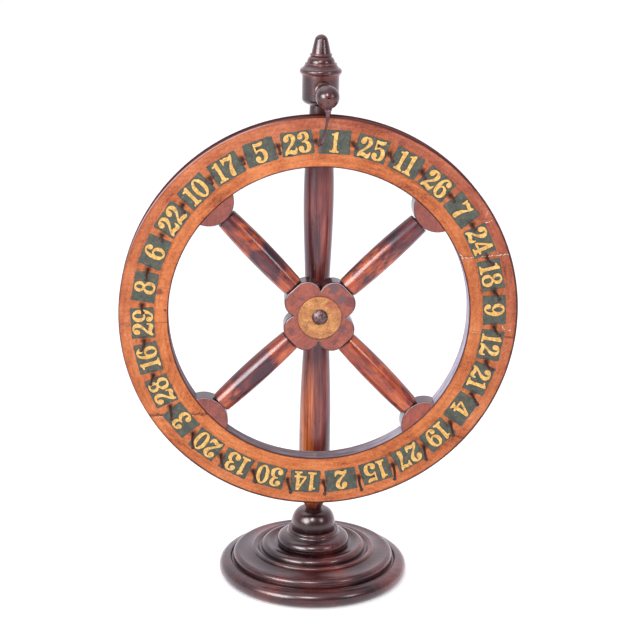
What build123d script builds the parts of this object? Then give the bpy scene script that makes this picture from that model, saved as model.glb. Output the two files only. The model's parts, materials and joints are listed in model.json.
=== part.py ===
"""Table-top numbered gaming wheel on a turned stand.

A four-spoked wooden wheel carries thirty numbered cards and thirty pegs. It turns on a bolt
through a turned post. A leather flapper hangs from a knob above it and clicks on the pegs.

Frame: origin at the centre of the foot's underside, +Z up, +X to the right as seen from the
front, and the wheel faces -Y. Millimetres. Angles round the wheel are clockwise from the top.
"""
import os
from math import cos, radians, sin

from build123d import *

os.makedirs("parts", exist_ok=True)

# ---- driving dimensions -------------------------------------------------------------------
WHEEL_R = 215.0  # outer radius of the rim
RIM_INNER_R = 162.1
RIM_FRONT_Y = -46.0
RIM_THICKNESS = 23.0
AXLE_Z = 316.5  # height of the wheel's axis
SPOKE_COUNT = 4
FIRST_SPOKE_ANGLE = 46.4
NUMBER_COUNT = 30
PITCH = 360.0 / NUMBER_COUNT
PEG_CIRCLE_R = 190.0
FIRST_PEG_ANGLE = -2.2
FIRST_CARD_ANGLE = 3.9
FOOT_R = 106.8
TOTAL_HEIGHT = 611.8

RIM_CHAMFER = 0.9
RUNNING_CLEARANCE = 0.05
GLUE_GAP = 0.05
END_GAP = 0.5  # room left past the end of a tenon

# ---- axle and hub -------------------------------------------------------------------------
AXLE_R = 4.0
HUB_FRONT_Y = -48.0
HUB_THICKNESS = 24.0
HUB_ROUND = 1.4
HUB_FRONT_ROUND = 2.0
HUB_CORE = 40.0  # side of the square that joins the four lobes
LOBE_R = 15.5
LOBE_WIDTH = 12.0  # distance between the two round shoulders of a lobe
LOBE_CENTRE = 26.3  # distance of a lobe's shoulders from the axis, along the spoke
BUSH_R = 6.0
DISC_R = 23.2
DISC_THICKNESS = 1.6
DISC_RECESS = 0.6
DISC_RECESS_R = 24.6
DISC_DROP = 1.0  # the disc sits a little low on the hub
AXIAL_PLAY = 0.3
SEAT_Y = 10.0  # flats on the post, front and back, where the spacer and the washer sit
SPACER_SEAT_R = 8.2
WASHER_SEAT_R = 9.2
SEAT_CUT = 10.0
AXLE_HOLE = 60.0
DISC_ROUND = 0.5
DISC_HOLE_CLEARANCE = 0.4

# ---- spokes and their blocks --------------------------------------------------------------
SPOKE_Y = -34.5
SPOKE_START = 42.0
SPOKE_END = 145.5
SPOKE_HUB_R = 11.75
SPOKE_MIDDLE_R = 13.4
SPOKE_RIM_R = 11.65
SPOKE_CHAMFER = 0.8
TENON_R = 5.0
HUB_TENON = 14.0
RIM_TENON = 26.0
BLOCK_R = 26.5
BLOCK_CENTRE = 171.9
BLOCK_FRONT_Y = -45.5
BLOCK_THICKNESS = 24.5
BLOCK_ROUND = 1.2
BLOCK_CUT = (20.0, 80.0)  # flat cut on each block, square to its spoke

# ---- cards and pegs -----------------------------------------------------------------------
CARD_WIDTH = 33.6
CARD_HEIGHT = 25.6
CARD_THICKNESS = 0.4
CARD_MIDDLE_R = 189.2
PEG_R = 1.25
PEG_HEAD_R = 1.7
PEG_HEAD = 1.2
PEG_PROUD = 42.0
PEG_SUNK = 13.0

# ---- stand --------------------------------------------------------------------------------
FOOT_TOP_Z = 34.4
PEDESTAL_TENON_R = 15.0
PEDESTAL_TENON_Z = 12.0
BALL_R = 24.7
BALL_Z = 61.5
NECK_R = 8.6
POST_BOTTOM_Z = 77.8
POST_TENON_R = 7.0
POST_TENON = 20.0
COLLAR_R = 19.7
COLLAR_BOTTOM_Z = 537.5
COLLAR_TOP_Z = 569.0
TOP_TENON_R = 8.0
TOP_TENON_Z = 557.0
FINIAL_TENON_R = 6.0
FINIAL_TENON_Z = 559.0
SCREW_R = 2.5
SCREW_HEAD_R = 5.2
SCREW_HEAD = 3.0
SCREW_HEAD_EDGE = 1.0
SCREW_HEAD_Z = 4.0
SCREW_TIP_Z = 44.0
SCREW_POINT = 6.0
SCREW_POCKET_R = 6.5

# ---- knob and flapper ---------------------------------------------------------------------
KNOB_Z = 555.0
KNOB_TURN = 2.6  # the knob points this far to the right of straight ahead, in degrees
KNOB_SEAT = 17.6  # distance of the knob's seat from the post's axis
KNOB_SEAT_R = 10.7
KNOB_SEAT_CUT = 6.0
KNOB_TENON_R = 5.0
KNOB_TENON_END = 9.0
KNOB_BALL_R = 12.25
KNOB_BALL_AT = 66.0
FLAPPER_THICKNESS = 1.6
FLAPPER_WIDTH = 7.0
FLAPPER_TIP_WIDTH = 4.6
FLAPPER_LENGTH = 44.0
FLAPPER_LEAN = 12.0
FLAPPER_TIP_ROUND = 1.5
FLAPPER_GAP = 0.15  # between the fixed tang and the part that swings
PIVOT_BELOW_BALL = 1.1
SLIT_WIDTH = 1.7
SLIT_TOP = 0.5  # the slit starts this far above the middle of the ball
SLIT_HOLE_R = 1.5

HUB_BACK_Y = HUB_FRONT_Y + HUB_THICKNESS
RIM_BACK_Y = RIM_FRONT_Y + RIM_THICKNESS
DISC_FRONT_Y = HUB_FRONT_Y + DISC_RECESS - DISC_THICKNESS


def finish(piece, name):
    """Label a finished piece and write it as one node."""
    piece.part.label = name
    export_step(piece.part, f"parts/{name}.step")


def wheel_plane(angle, y):
    """Plane at depth y, facing the front, whose x axis points outward at this clock angle."""
    outward = (sin(radians(angle)), 0, cos(radians(angle)))
    return Plane(origin=(0, y, AXLE_Z), x_dir=outward, z_dir=(0, -1, 0))


def dome_radius(height, radius):
    """Radius of the sphere that a dome of this height and base radius is cut from."""
    return (height**2 + radius**2) / (2 * height)


def rim_point(radius, angle):
    """A point on a wheel plane at angle 0, given by its radius and clock angle."""
    return radius * cos(radians(angle)), -radius * sin(radians(angle))


# ---- the stand: foot, pedestal, post, collar, finial --------------------------------------
with BuildPart() as foot:
    with BuildSketch(Plane.XZ):
        with BuildLine():
            Line((0, 0), (97.5, 0))
            ThreePointArc((97.5, 0), (FOOT_R, 9.8), (98.0, 19.0))
            ThreePointArc((98.0, 19.0), (96.2, 19.6), (94.2, 19.4))
            Polyline((94.2, 19.4), (92.8, 17.6), (91.0, 17.6), (90.6, 21.6))
            ThreePointArc((90.6, 21.6), (89.4, 26.2), (85.5, 27.9))
            ThreePointArc((85.5, 27.9), (77.0, 27.6), (68.8, 29.6))
            ThreePointArc((68.8, 29.6), (68.9, 31.8), (66.8, 32.9))
            Polyline((66.8, 32.9), (63.8, 32.2), (61.6, 30.6), (58.6, 30.6))
            ThreePointArc((58.6, 30.6), (57.6, 35.4), (54.2, 37.6))
            ThreePointArc((54.2, 37.6), (52.9, 37.7), (51.6, 37.0))
            ThreePointArc((51.6, 37.0), (46.8, 34.2), (42.0, FOOT_TOP_Z))
            Polyline((42.0, FOOT_TOP_Z), (0, FOOT_TOP_Z), (0, 0))
        make_face()
    revolve(axis=Axis.Z)
    with Locations((0, 0, PEDESTAL_TENON_Z)):
        Cylinder(
            PEDESTAL_TENON_R + GLUE_GAP, FOOT_TOP_Z,
            align=(Align.CENTER, Align.CENTER, Align.MIN), mode=Mode.SUBTRACT,
        )
    Cylinder(
        SCREW_POCKET_R, SCREW_HEAD_Z,
        align=(Align.CENTER, Align.CENTER, Align.MIN), mode=Mode.SUBTRACT,
    )
    Cylinder(
        SCREW_R, PEDESTAL_TENON_Z,
        align=(Align.CENTER, Align.CENTER, Align.MIN), mode=Mode.SUBTRACT,
    )
finish(foot, "foot")

with BuildPart() as pedestal:
    with BuildSketch(Plane.XZ):
        with BuildLine():
            Polyline(
                (0, PEDESTAL_TENON_Z), (PEDESTAL_TENON_R, PEDESTAL_TENON_Z),
                (PEDESTAL_TENON_R, FOOT_TOP_Z), (38.4, FOOT_TOP_Z),
            )
            ThreePointArc((38.4, FOOT_TOP_Z), (40.6, 41.0), (35.4, 47.2))
            ThreePointArc((35.4, 47.2), (33.0, 48.0), (30.6, 48.4))
            ThreePointArc((30.6, 48.4), (28.8, 50.2), (28.6, 52.2))
            ThreePointArc((28.6, 52.2), (28.3, 53.9), (26.6, 54.4))
            Line((26.6, 54.4), (23.6, 54.2))
            ThreePointArc((23.6, 54.2), (BALL_R, BALL_Z), (21.6, 71.6))
            ThreePointArc((21.6, 71.6), (17.4, 76.0), (11.6, 77.6))
            Polyline(
                (11.6, 77.6), (NECK_R, POST_BOTTOM_Z), (0, POST_BOTTOM_Z), (0, PEDESTAL_TENON_Z),
            )
        make_face()
    revolve(axis=Axis.Z)
    with Locations((0, 0, POST_BOTTOM_Z)):
        Cylinder(
            POST_TENON_R + GLUE_GAP, POST_TENON,
            align=(Align.CENTER, Align.CENTER, Align.MAX), mode=Mode.SUBTRACT,
        )
    with Locations((0, 0, PEDESTAL_TENON_Z)):
        Cylinder(
            SCREW_R, SCREW_TIP_Z - PEDESTAL_TENON_Z,
            align=(Align.CENTER, Align.CENTER, Align.MIN), mode=Mode.SUBTRACT,
        )
finish(pedestal, "pedestal")

with BuildPart() as foot_screw:
    with BuildSketch(Plane.XZ):
        with BuildLine():
            Polyline(
                (0, SCREW_HEAD_Z - SCREW_HEAD),
                (SCREW_HEAD_R - SCREW_HEAD_EDGE, SCREW_HEAD_Z - SCREW_HEAD),
                (SCREW_HEAD_R, SCREW_HEAD_Z - SCREW_HEAD + SCREW_HEAD_EDGE),
                (SCREW_HEAD_R, SCREW_HEAD_Z), (SCREW_R, SCREW_HEAD_Z),
                (SCREW_R, SCREW_TIP_Z - SCREW_POINT), (0, SCREW_TIP_Z),
                (0, SCREW_HEAD_Z - SCREW_HEAD),
            )
        make_face()
    revolve(axis=Axis.Z)
finish(foot_screw, "foot_screw")

with BuildPart() as post:
    with BuildSketch(Plane.XZ):
        with BuildLine():
            Polyline(
                (0, POST_BOTTOM_Z - POST_TENON), (POST_TENON_R, POST_BOTTOM_Z - POST_TENON),
                (POST_TENON_R, POST_BOTTOM_Z), (NECK_R, POST_BOTTOM_Z),
            )
            Spline(
                (NECK_R, POST_BOTTOM_Z), (10.4, 82.2), (13.4, 87.6), (15.2, 96.0),
                (17.0, 125.0), (17.4, 172.0), (16.2, 230.0),
                (13.8, 284.0), (13.0, AXLE_Z), (13.7, 350.0), (15.2, 388.0), (16.3, 432.0),
                (15.6, 470.0), (12.6, 512.0), (11.2, COLLAR_BOTTOM_Z),
            )
            Polyline(
                (11.2, COLLAR_BOTTOM_Z), (TOP_TENON_R, COLLAR_BOTTOM_Z),
                (TOP_TENON_R, TOP_TENON_Z), (0, TOP_TENON_Z),
                (0, POST_BOTTOM_Z - POST_TENON),
            )
        make_face()
    revolve(axis=Axis.Z)
    with Locations(Plane.XZ.offset(SEAT_Y) * Pos(0, AXLE_Z)):
        Cylinder(
            SPACER_SEAT_R, SEAT_CUT,
            align=(Align.CENTER, Align.CENTER, Align.MIN), mode=Mode.SUBTRACT,
        )
    with Locations(Plane.XZ.offset(-SEAT_Y) * Pos(0, AXLE_Z)):
        Cylinder(
            WASHER_SEAT_R, SEAT_CUT,
            align=(Align.CENTER, Align.CENTER, Align.MAX), mode=Mode.SUBTRACT,
        )
    with Locations(Plane.XZ * Pos(0, AXLE_Z)):
        Cylinder(AXLE_R, AXLE_HOLE, mode=Mode.SUBTRACT)
finish(post, "post")

knob_direction = Vector(sin(radians(KNOB_TURN)), -cos(radians(KNOB_TURN)), 0)
knob_right = Vector(cos(radians(KNOB_TURN)), sin(radians(KNOB_TURN)), 0)

with BuildPart() as collar:
    with BuildSketch(Plane.XZ):
        with BuildLine():
            Polyline(
                (TOP_TENON_R + GLUE_GAP, COLLAR_BOTTOM_Z), (12.4, COLLAR_BOTTOM_Z),
                (14.2, 538.6),
            )
            ThreePointArc((14.2, 538.6), (17.6, 540.2), (19.2, 542.2))
            Line((19.2, 542.2), (COLLAR_R, 543.4))
            Polyline(
                (COLLAR_R, 543.4), (COLLAR_R, COLLAR_TOP_Z),
                (FINIAL_TENON_R + GLUE_GAP, COLLAR_TOP_Z),
                (FINIAL_TENON_R + GLUE_GAP, TOP_TENON_Z + END_GAP),
                (TOP_TENON_R + GLUE_GAP, TOP_TENON_Z + END_GAP),
                (TOP_TENON_R + GLUE_GAP, COLLAR_BOTTOM_Z),
            )
        make_face()
    revolve(axis=Axis.Z)
    with Locations(Plane(origin=knob_direction * KNOB_SEAT + Vector(0, 0, KNOB_Z),
                         x_dir=knob_right, z_dir=knob_direction)):
        Cylinder(
            KNOB_SEAT_R, KNOB_SEAT_CUT,
            align=(Align.CENTER, Align.CENTER, Align.MIN), mode=Mode.SUBTRACT,
        )
        Cylinder(
            KNOB_TENON_R + GLUE_GAP, KNOB_SEAT - TOP_TENON_R,
            align=(Align.CENTER, Align.CENTER, Align.MAX), mode=Mode.SUBTRACT,
        )
finish(collar, "collar")

with BuildPart() as finial:
    with BuildSketch(Plane.XZ):
        with BuildLine():
            Polyline(
                (0, FINIAL_TENON_Z), (FINIAL_TENON_R, FINIAL_TENON_Z),
                (FINIAL_TENON_R, COLLAR_TOP_Z), (20.2, COLLAR_TOP_Z), (20.2, 570.0),
            )
            ThreePointArc((20.2, 570.0), (22.4, 573.2), (20.6, 576.4))
            ThreePointArc((20.6, 576.4), (18.2, 578.4), (16.9, 580.6))
            ThreePointArc((16.9, 580.6), (16.9, 581.8), (15.8, 582.2))
            Line((15.8, 582.2), (14.8, 582.0))
            ThreePointArc((14.8, 582.0), (13.8, 586.2), (10.9, 589.2))
            ThreePointArc((10.9, 589.2), (11.8, 590.6), (10.9, 592.0))
            Line((10.9, 592.0), (10.2, 592.0))
            ThreePointArc((10.2, 592.0), (8.9, 598.4), (7.1, 605.8))
            RadiusArc(
                (7.1, 605.8), (0, TOTAL_HEIGHT), -dome_radius(TOTAL_HEIGHT - 605.8, 7.1),
            )
            Line((0, TOTAL_HEIGHT), (0, FINIAL_TENON_Z))
        make_face()
    revolve(axis=Axis.Z)
finish(finial, "finial")

# ---- knob and flapper ---------------------------------------------------------------------
# The knob is turned about its own axis: x runs along that axis away from the post, y is up.
knob_section = Plane(origin=(0, 0, KNOB_Z), x_dir=knob_direction, z_dir=-knob_right)
ball_centre = knob_direction * KNOB_BALL_AT + Vector(0, 0, KNOB_Z)
pivot = ball_centre - Vector(0, 0, KNOB_BALL_R + PIVOT_BELOW_BALL)

with BuildPart() as knob:
    with BuildSketch(knob_section):
        with BuildLine():
            Polyline(
                (KNOB_TENON_END, 0), (KNOB_TENON_END, KNOB_TENON_R),
                (KNOB_SEAT, KNOB_TENON_R), (KNOB_SEAT, 9.9),
            )
            ThreePointArc((KNOB_SEAT, 9.9), (19.4, 10.4), (21.2, 9.9))
            Line((21.2, 9.9), (21.2, 8.9))
            ThreePointArc((21.2, 8.9), (23.0, 9.4), (24.8, 8.6))
            Line((24.8, 8.6), (25.4, 7.6))
            ThreePointArc((25.4, 7.6), (34.0, 5.4), (48.0, 6.0))
            ThreePointArc((48.0, 6.0), (50.6, 7.6), (53.0, 6.6))
            Line((53.0, 6.6), (55.6, 6.6))
            ThreePointArc(
                (55.6, 6.6), (KNOB_BALL_AT, KNOB_BALL_R), (KNOB_BALL_AT + KNOB_BALL_R, 0),
            )
            Line((KNOB_BALL_AT + KNOB_BALL_R, 0), (KNOB_TENON_END, 0))
        make_face()
    revolve(axis=Axis((0, 0, KNOB_Z), knob_direction))
    slit_back = KNOB_BALL_AT - FLAPPER_WIDTH / 2
    with BuildSketch(knob_section.offset(-SLIT_WIDTH / 2)):
        with Locations((slit_back, SLIT_TOP)):
            Rectangle(2 * KNOB_BALL_R, 2 * KNOB_BALL_R, align=(Align.MIN, Align.MAX))
    extrude(amount=SLIT_WIDTH, mode=Mode.SUBTRACT)
    with Locations(Plane(origin=ball_centre, x_dir=knob_right, z_dir=knob_direction)):
        Cylinder(
            SLIT_HOLE_R, KNOB_BALL_R * 2, align=(Align.CENTER, Align.CENTER, Align.MIN),
            mode=Mode.SUBTRACT,
        )
finish(knob, "knob")

with BuildPart() as flapper_tang:
    with BuildSketch(knob_section.offset(-FLAPPER_THICKNESS / 2)):
        with Locations((KNOB_BALL_AT, -SLIT_HOLE_R)):
            Rectangle(
                FLAPPER_WIDTH,
                KNOB_BALL_R + PIVOT_BELOW_BALL - SLIT_HOLE_R - FLAPPER_THICKNESS / 2 - FLAPPER_GAP,
                align=(Align.CENTER, Align.MAX),
            )
    extrude(amount=FLAPPER_THICKNESS)
finish(flapper_tang, "flapper_tang")

lean_down = -knob_right * sin(radians(FLAPPER_LEAN)) - Vector(0, 0, cos(radians(FLAPPER_LEAN)))
flapper_section = Plane(
    origin=pivot, x_dir=knob_direction, z_dir=knob_direction.cross(lean_down),
)
with BuildPart() as flapper:
    with BuildSketch(flapper_section.offset(-FLAPPER_THICKNESS / 2)):
        with BuildLine():
            Polyline(
                (-FLAPPER_WIDTH / 2, 0), (FLAPPER_WIDTH / 2, 0),
                (FLAPPER_TIP_WIDTH / 2, FLAPPER_LENGTH - FLAPPER_TIP_ROUND),
            )
            ThreePointArc(
                (FLAPPER_TIP_WIDTH / 2, FLAPPER_LENGTH - FLAPPER_TIP_ROUND), (0, FLAPPER_LENGTH),
                (-FLAPPER_TIP_WIDTH / 2, FLAPPER_LENGTH - FLAPPER_TIP_ROUND),
            )
            Line((-FLAPPER_TIP_WIDTH / 2, FLAPPER_LENGTH - FLAPPER_TIP_ROUND), (-FLAPPER_WIDTH / 2, 0))
        make_face()
    extrude(amount=FLAPPER_THICKNESS)
    with Locations(Plane(origin=pivot, x_dir=knob_right, z_dir=knob_direction)):
        Cylinder(FLAPPER_THICKNESS / 2, FLAPPER_WIDTH)
finish(flapper, "flapper")

# ---- axle: bolt, spacer, washer, nut ------------------------------------------------------
BOLT_HEAD_R = 8.5
BOLT_HEAD = 5.0
BOLT_EDGE = 0.8
BOLT_END_Y = 21.0
NUT_FLATS = 13.0
NUT = 6.0
NUT_CHAMFER = 0.7
WASHER_R = 8.8
WASHER = 1.4
SPACER_R = 7.5
SPACER_CHAMFER = 0.6
bolt_head_y = DISC_FRONT_Y - AXIAL_PLAY

# Along the axle, x is distance toward the front and y is radius.
axle_section = Plane(origin=(0, 0, AXLE_Z), x_dir=(0, -1, 0), z_dir=(1, 0, 0))
axle_line = Axis((0, 0, AXLE_Z), (0, -1, 0))

with BuildPart() as axle_bolt:
    with BuildSketch(axle_section):
        with BuildLine():
            Polyline(
                (-BOLT_END_Y, 0), (-BOLT_END_Y, AXLE_R - BOLT_EDGE),
                (-BOLT_END_Y + BOLT_EDGE, AXLE_R),
                (-bolt_head_y, AXLE_R), (-bolt_head_y, BOLT_HEAD_R),
                (-bolt_head_y + BOLT_EDGE, BOLT_HEAD_R),
            )
            RadiusArc(
                (-bolt_head_y + BOLT_EDGE, BOLT_HEAD_R), (-bolt_head_y + BOLT_HEAD, 0),
                dome_radius(BOLT_HEAD - BOLT_EDGE, BOLT_HEAD_R),
            )
            Line((-bolt_head_y + BOLT_HEAD, 0), (-BOLT_END_Y, 0))
        make_face()
    revolve(axis=axle_line)
finish(axle_bolt, "axle_bolt")

with BuildPart() as spacer:
    with BuildSketch(Plane.XZ.offset(SEAT_Y)):
        with Locations((0, AXLE_Z)):
            Circle(SPACER_R)
            Circle(AXLE_R + RUNNING_CLEARANCE, mode=Mode.SUBTRACT)
    extrude(amount=-HUB_BACK_Y - SEAT_Y - AXIAL_PLAY)
    chamfer(spacer.edges().filter_by(GeomType.CIRCLE).group_by(SortBy.RADIUS)[-1], SPACER_CHAMFER)
finish(spacer, "spacer")

with BuildPart() as rear_washer:
    with BuildSketch(Plane.XZ.offset(-SEAT_Y - WASHER)):
        with Locations((0, AXLE_Z)):
            Circle(WASHER_R)
            Circle(AXLE_R + RUNNING_CLEARANCE, mode=Mode.SUBTRACT)
    extrude(amount=WASHER)
finish(rear_washer, "rear_washer")

with BuildPart() as axle_nut:
    with BuildSketch(Plane.XZ.offset(-SEAT_Y - WASHER - NUT)):
        with Locations((0, AXLE_Z)):
            RegularPolygon(NUT_FLATS / 2, 6, major_radius=False)
            Circle(AXLE_R, mode=Mode.SUBTRACT)
    extrude(amount=NUT)
    chamfer(axle_nut.faces().sort_by(Axis.Y)[-1].outer_wire().edges(), NUT_CHAMFER)
finish(axle_nut, "axle_nut")

# ---- hub, disc and bush -------------------------------------------------------------------
spoke_angles = [FIRST_SPOKE_ANGLE + 360.0 / SPOKE_COUNT * i for i in range(SPOKE_COUNT)]

with BuildPart() as hub:
    with BuildSketch(wheel_plane(FIRST_SPOKE_ANGLE, HUB_BACK_Y)):
        Rectangle(HUB_CORE, HUB_CORE)
        with PolarLocations(LOBE_CENTRE, SPOKE_COUNT):
            SlotCenterToCenter(LOBE_WIDTH, 2 * LOBE_R, rotation=90)
    extrude(amount=HUB_THICKNESS)
    fillet(hub.faces().sort_by(Axis.Y)[0].outer_wire().edges(), HUB_FRONT_ROUND)
    fillet(hub.faces().sort_by(Axis.Y)[-1].outer_wire().edges(), HUB_ROUND)
    with BuildSketch(wheel_plane(0, HUB_FRONT_Y)):
        with Locations((-DISC_DROP, 0)):
            Circle(DISC_RECESS_R)
    extrude(amount=-DISC_RECESS, mode=Mode.SUBTRACT)
    with BuildSketch(wheel_plane(0, HUB_FRONT_Y)):
        Circle(BUSH_R)
    extrude(amount=-HUB_THICKNESS, mode=Mode.SUBTRACT)
    for angle in spoke_angles:
        outward = wheel_plane(angle, SPOKE_Y).x_dir
        socket_floor = Vector(0, SPOKE_Y, AXLE_Z) + outward * (SPOKE_START - HUB_TENON)
        with Locations(Plane(origin=socket_floor, z_dir=outward)):
            Cylinder(
                TENON_R + GLUE_GAP, 2 * HUB_TENON,
                align=(Align.CENTER, Align.CENTER, Align.MIN), mode=Mode.SUBTRACT,
            )
finish(hub, "hub")

with BuildPart() as hub_bush:
    with BuildSketch(wheel_plane(0, HUB_BACK_Y)):
        Circle(BUSH_R)
        Circle(AXLE_R + RUNNING_CLEARANCE, mode=Mode.SUBTRACT)
    extrude(amount=HUB_THICKNESS - DISC_RECESS)
finish(hub_bush, "hub_bush")

with BuildPart() as hub_disc:
    with BuildSketch(wheel_plane(0, HUB_FRONT_Y + DISC_RECESS)):
        with Locations((-DISC_DROP, 0)):
            Circle(DISC_R)
        Circle(AXLE_R + DISC_HOLE_CLEARANCE, mode=Mode.SUBTRACT)
    extrude(amount=DISC_THICKNESS)
    fillet(hub_disc.faces().sort_by(Axis.Y)[0].outer_wire().edges(), DISC_ROUND)
finish(hub_disc, "hub_disc")

# ---- spokes and the blocks that join them to the rim --------------------------------------
for number, angle in enumerate(spoke_angles, start=1):
    plane = wheel_plane(angle, SPOKE_Y)
    with BuildPart() as spoke:
        with BuildSketch(plane):
            with BuildLine():
                Polyline(
                    (SPOKE_START - HUB_TENON, 0), (SPOKE_START - HUB_TENON, TENON_R),
                    (SPOKE_START, TENON_R), (SPOKE_START, SPOKE_HUB_R - SPOKE_CHAMFER),
                    (SPOKE_START + SPOKE_CHAMFER, SPOKE_HUB_R),
                )
                ThreePointArc(
                    (SPOKE_START + SPOKE_CHAMFER, SPOKE_HUB_R),
                    ((SPOKE_START + SPOKE_END) / 2, SPOKE_MIDDLE_R),
                    (SPOKE_END - SPOKE_CHAMFER, SPOKE_RIM_R),
                )
                Polyline(
                    (SPOKE_END - SPOKE_CHAMFER, SPOKE_RIM_R),
                    (SPOKE_END, SPOKE_RIM_R - SPOKE_CHAMFER), (SPOKE_END, TENON_R),
                    (SPOKE_END + RIM_TENON, TENON_R), (SPOKE_END + RIM_TENON, 0),
                    (SPOKE_START - HUB_TENON, 0),
                )
            make_face()
        revolve(axis=Axis(plane.origin, plane.x_dir))
    finish(spoke, f"spoke_{number}")

for number, angle in enumerate(spoke_angles, start=1):
    plane = wheel_plane(angle, BLOCK_FRONT_Y + BLOCK_THICKNESS)
    with BuildPart() as block:
        with BuildSketch(plane):
            with Locations((BLOCK_CENTRE, 0)):
                Circle(BLOCK_R)
            Circle(RIM_INNER_R - GLUE_GAP, mode=Mode.INTERSECT)
            with Locations((SPOKE_END, 0)):
                Rectangle(*BLOCK_CUT, align=(Align.MAX, Align.CENTER), mode=Mode.SUBTRACT)
        extrude(amount=BLOCK_THICKNESS)
        for face in (block.faces().sort_by(Axis.Y)[0], block.faces().sort_by(Axis.Y)[-1]):
            rim_side = face.edges().sort_by_distance(plane.origin)[-1]
            fillet([e for e in face.edges() if e != rim_side], BLOCK_ROUND)
        with Locations(Plane(origin=plane.origin + Vector(0, SPOKE_Y - plane.origin.Y, 0),
                             z_dir=plane.x_dir)):
            Cylinder(
                TENON_R + GLUE_GAP, WHEEL_R,
                align=(Align.CENTER, Align.CENTER, Align.MIN), mode=Mode.SUBTRACT,
            )
    finish(block, f"spoke_block_{number}")

# ---- rim: two long felloes and two short filling pieces, glued end to end -----------------
# Each joint is given by its clock angle at the outer and at the inner edge.
JOINT_RIGHT_UPPER = (71.2, 66.8)
JOINT_RIGHT_LOWER = (96.6, 96.2)
JOINT_LEFT_LOWER = (238.6, 227.4)
JOINT_LEFT_UPPER = (267.4, 267.8)
JOINT_REACH = 10.0
FULL_TURN = 360.0

rim_pieces = {
    "rim_upper": (JOINT_LEFT_UPPER, tuple(FULL_TURN + a for a in JOINT_RIGHT_UPPER)),
    "rim_right": (JOINT_RIGHT_UPPER, JOINT_RIGHT_LOWER),
    "rim_lower": (JOINT_RIGHT_LOWER, JOINT_LEFT_LOWER),
    "rim_left": (JOINT_LEFT_LOWER, JOINT_LEFT_UPPER),
}


def joint_line(outer_angle, inner_angle):
    """Inner and outer end of a glue joint's line, carried on past both edges of the rim."""
    outer = Vector(*rim_point(WHEEL_R, outer_angle))
    inner = Vector(*rim_point(RIM_INNER_R, inner_angle))
    reach = (outer - inner).normalized() * JOINT_REACH
    return inner - reach, outer + reach


# Across the rim, x is radius and y is distance toward the front.
rim_section = Plane(origin=(0, 0, AXLE_Z), x_dir=(0, 0, 1), z_dir=(1, 0, 0))

# The rim is turned as one ring, and each piece is the part of it between two joint lines.
for name, (start, end) in rim_pieces.items():
    with BuildPart() as rim_piece:
        with BuildSketch(rim_section):
            with Locations(((RIM_INNER_R + WHEEL_R) / 2, -(RIM_FRONT_Y + RIM_BACK_Y) / 2)):
                corners = Rectangle(WHEEL_R - RIM_INNER_R, RIM_THICKNESS).vertices()
            chamfer(corners, RIM_CHAMFER)
        revolve(axis=axle_line)
        with BuildSketch(wheel_plane(0, RIM_FRONT_Y)):
            with BuildLine():
                start_inner, start_outer = joint_line(*start)
                end_inner, end_outer = joint_line(*end)
                ThreePointArc(
                    start_outer,
                    rim_point(WHEEL_R + JOINT_REACH, (start[0] + end[0]) / 2),
                    end_outer,
                )
                Line(end_outer, end_inner)
                ThreePointArc(
                    end_inner,
                    rim_point(RIM_INNER_R - JOINT_REACH, (start[1] + end[1]) / 2),
                    start_inner,
                )
                Line(start_inner, start_outer)
            make_face()
        extrude(amount=2 * RIM_THICKNESS, both=True, mode=Mode.INTERSECT)
        with BuildSketch(wheel_plane(FIRST_PEG_ANGLE, RIM_FRONT_Y)):
            with PolarLocations(PEG_CIRCLE_R, NUMBER_COUNT):
                Circle(PEG_R + GLUE_GAP / 2)
        extrude(amount=-PEG_SUNK, mode=Mode.SUBTRACT)
        for angle in spoke_angles:
            outward = wheel_plane(angle, SPOKE_Y).x_dir
            with Locations(Plane(origin=(0, SPOKE_Y, AXLE_Z), z_dir=outward)):
                Cylinder(
                    TENON_R + GLUE_GAP, SPOKE_END + RIM_TENON,
                    align=(Align.CENTER, Align.CENTER, Align.MIN), mode=Mode.SUBTRACT,
                )
    finish(rim_piece, name)

# ---- pegs: thirty nails driven into the rim -----------------------------------------------
with BuildPart() as pegs:
    with BuildSketch(wheel_plane(FIRST_PEG_ANGLE, RIM_FRONT_Y + PEG_SUNK)):
        with PolarLocations(PEG_CIRCLE_R, NUMBER_COUNT):
            Circle(PEG_R)
    extrude(amount=PEG_SUNK + PEG_PROUD)
    with BuildSketch(wheel_plane(FIRST_PEG_ANGLE, RIM_FRONT_Y - PEG_PROUD)):
        with PolarLocations(PEG_CIRCLE_R, NUMBER_COUNT):
            Circle(PEG_HEAD_R)
    extrude(amount=-PEG_HEAD)
finish(pegs, "pegs")

# ---- cards: thirty hand-cut squares glued to the face -------------------------------------
NUMBERS = (
    1, 25, 11, 26, 7, 24, 18, 9, 12, 21, 4, 19, 27, 15, 2,
    14, 30, 13, 20, 3, 28, 16, 29, 8, 6, 22, 10, 17, 5, 23,
)
CARD_WIDTH_SPREAD = 0.7
CARD_TILT = 1.3

for place, value in enumerate(NUMBERS):
    angle = FIRST_CARD_ANGLE + PITCH * place
    width = CARD_WIDTH + CARD_WIDTH_SPREAD * sin(2.4 * place)
    with BuildPart() as card:
        with BuildSketch(wheel_plane(angle, RIM_FRONT_Y)):
            with Locations((CARD_MIDDLE_R, 0)):
                Rectangle(CARD_HEIGHT, width, rotation=CARD_TILT * cos(1.7 * place))
        extrude(amount=CARD_THICKNESS)
    finish(card, f"card_{value:02d}")
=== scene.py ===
"""Looks of the table-top numbered gaming wheel, built round its CAD frame.

Metres, in the row frame: origin under the foot, +Z up, and the wheel faces -Y. Angles round the
wheel are clock angles, in degrees clockwise from the top as seen from the front.
"""
import json
from math import copysign, cos, pi, radians, sin
from random import Random

import bmesh
import bpy
from mathutils import Matrix, Vector


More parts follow.
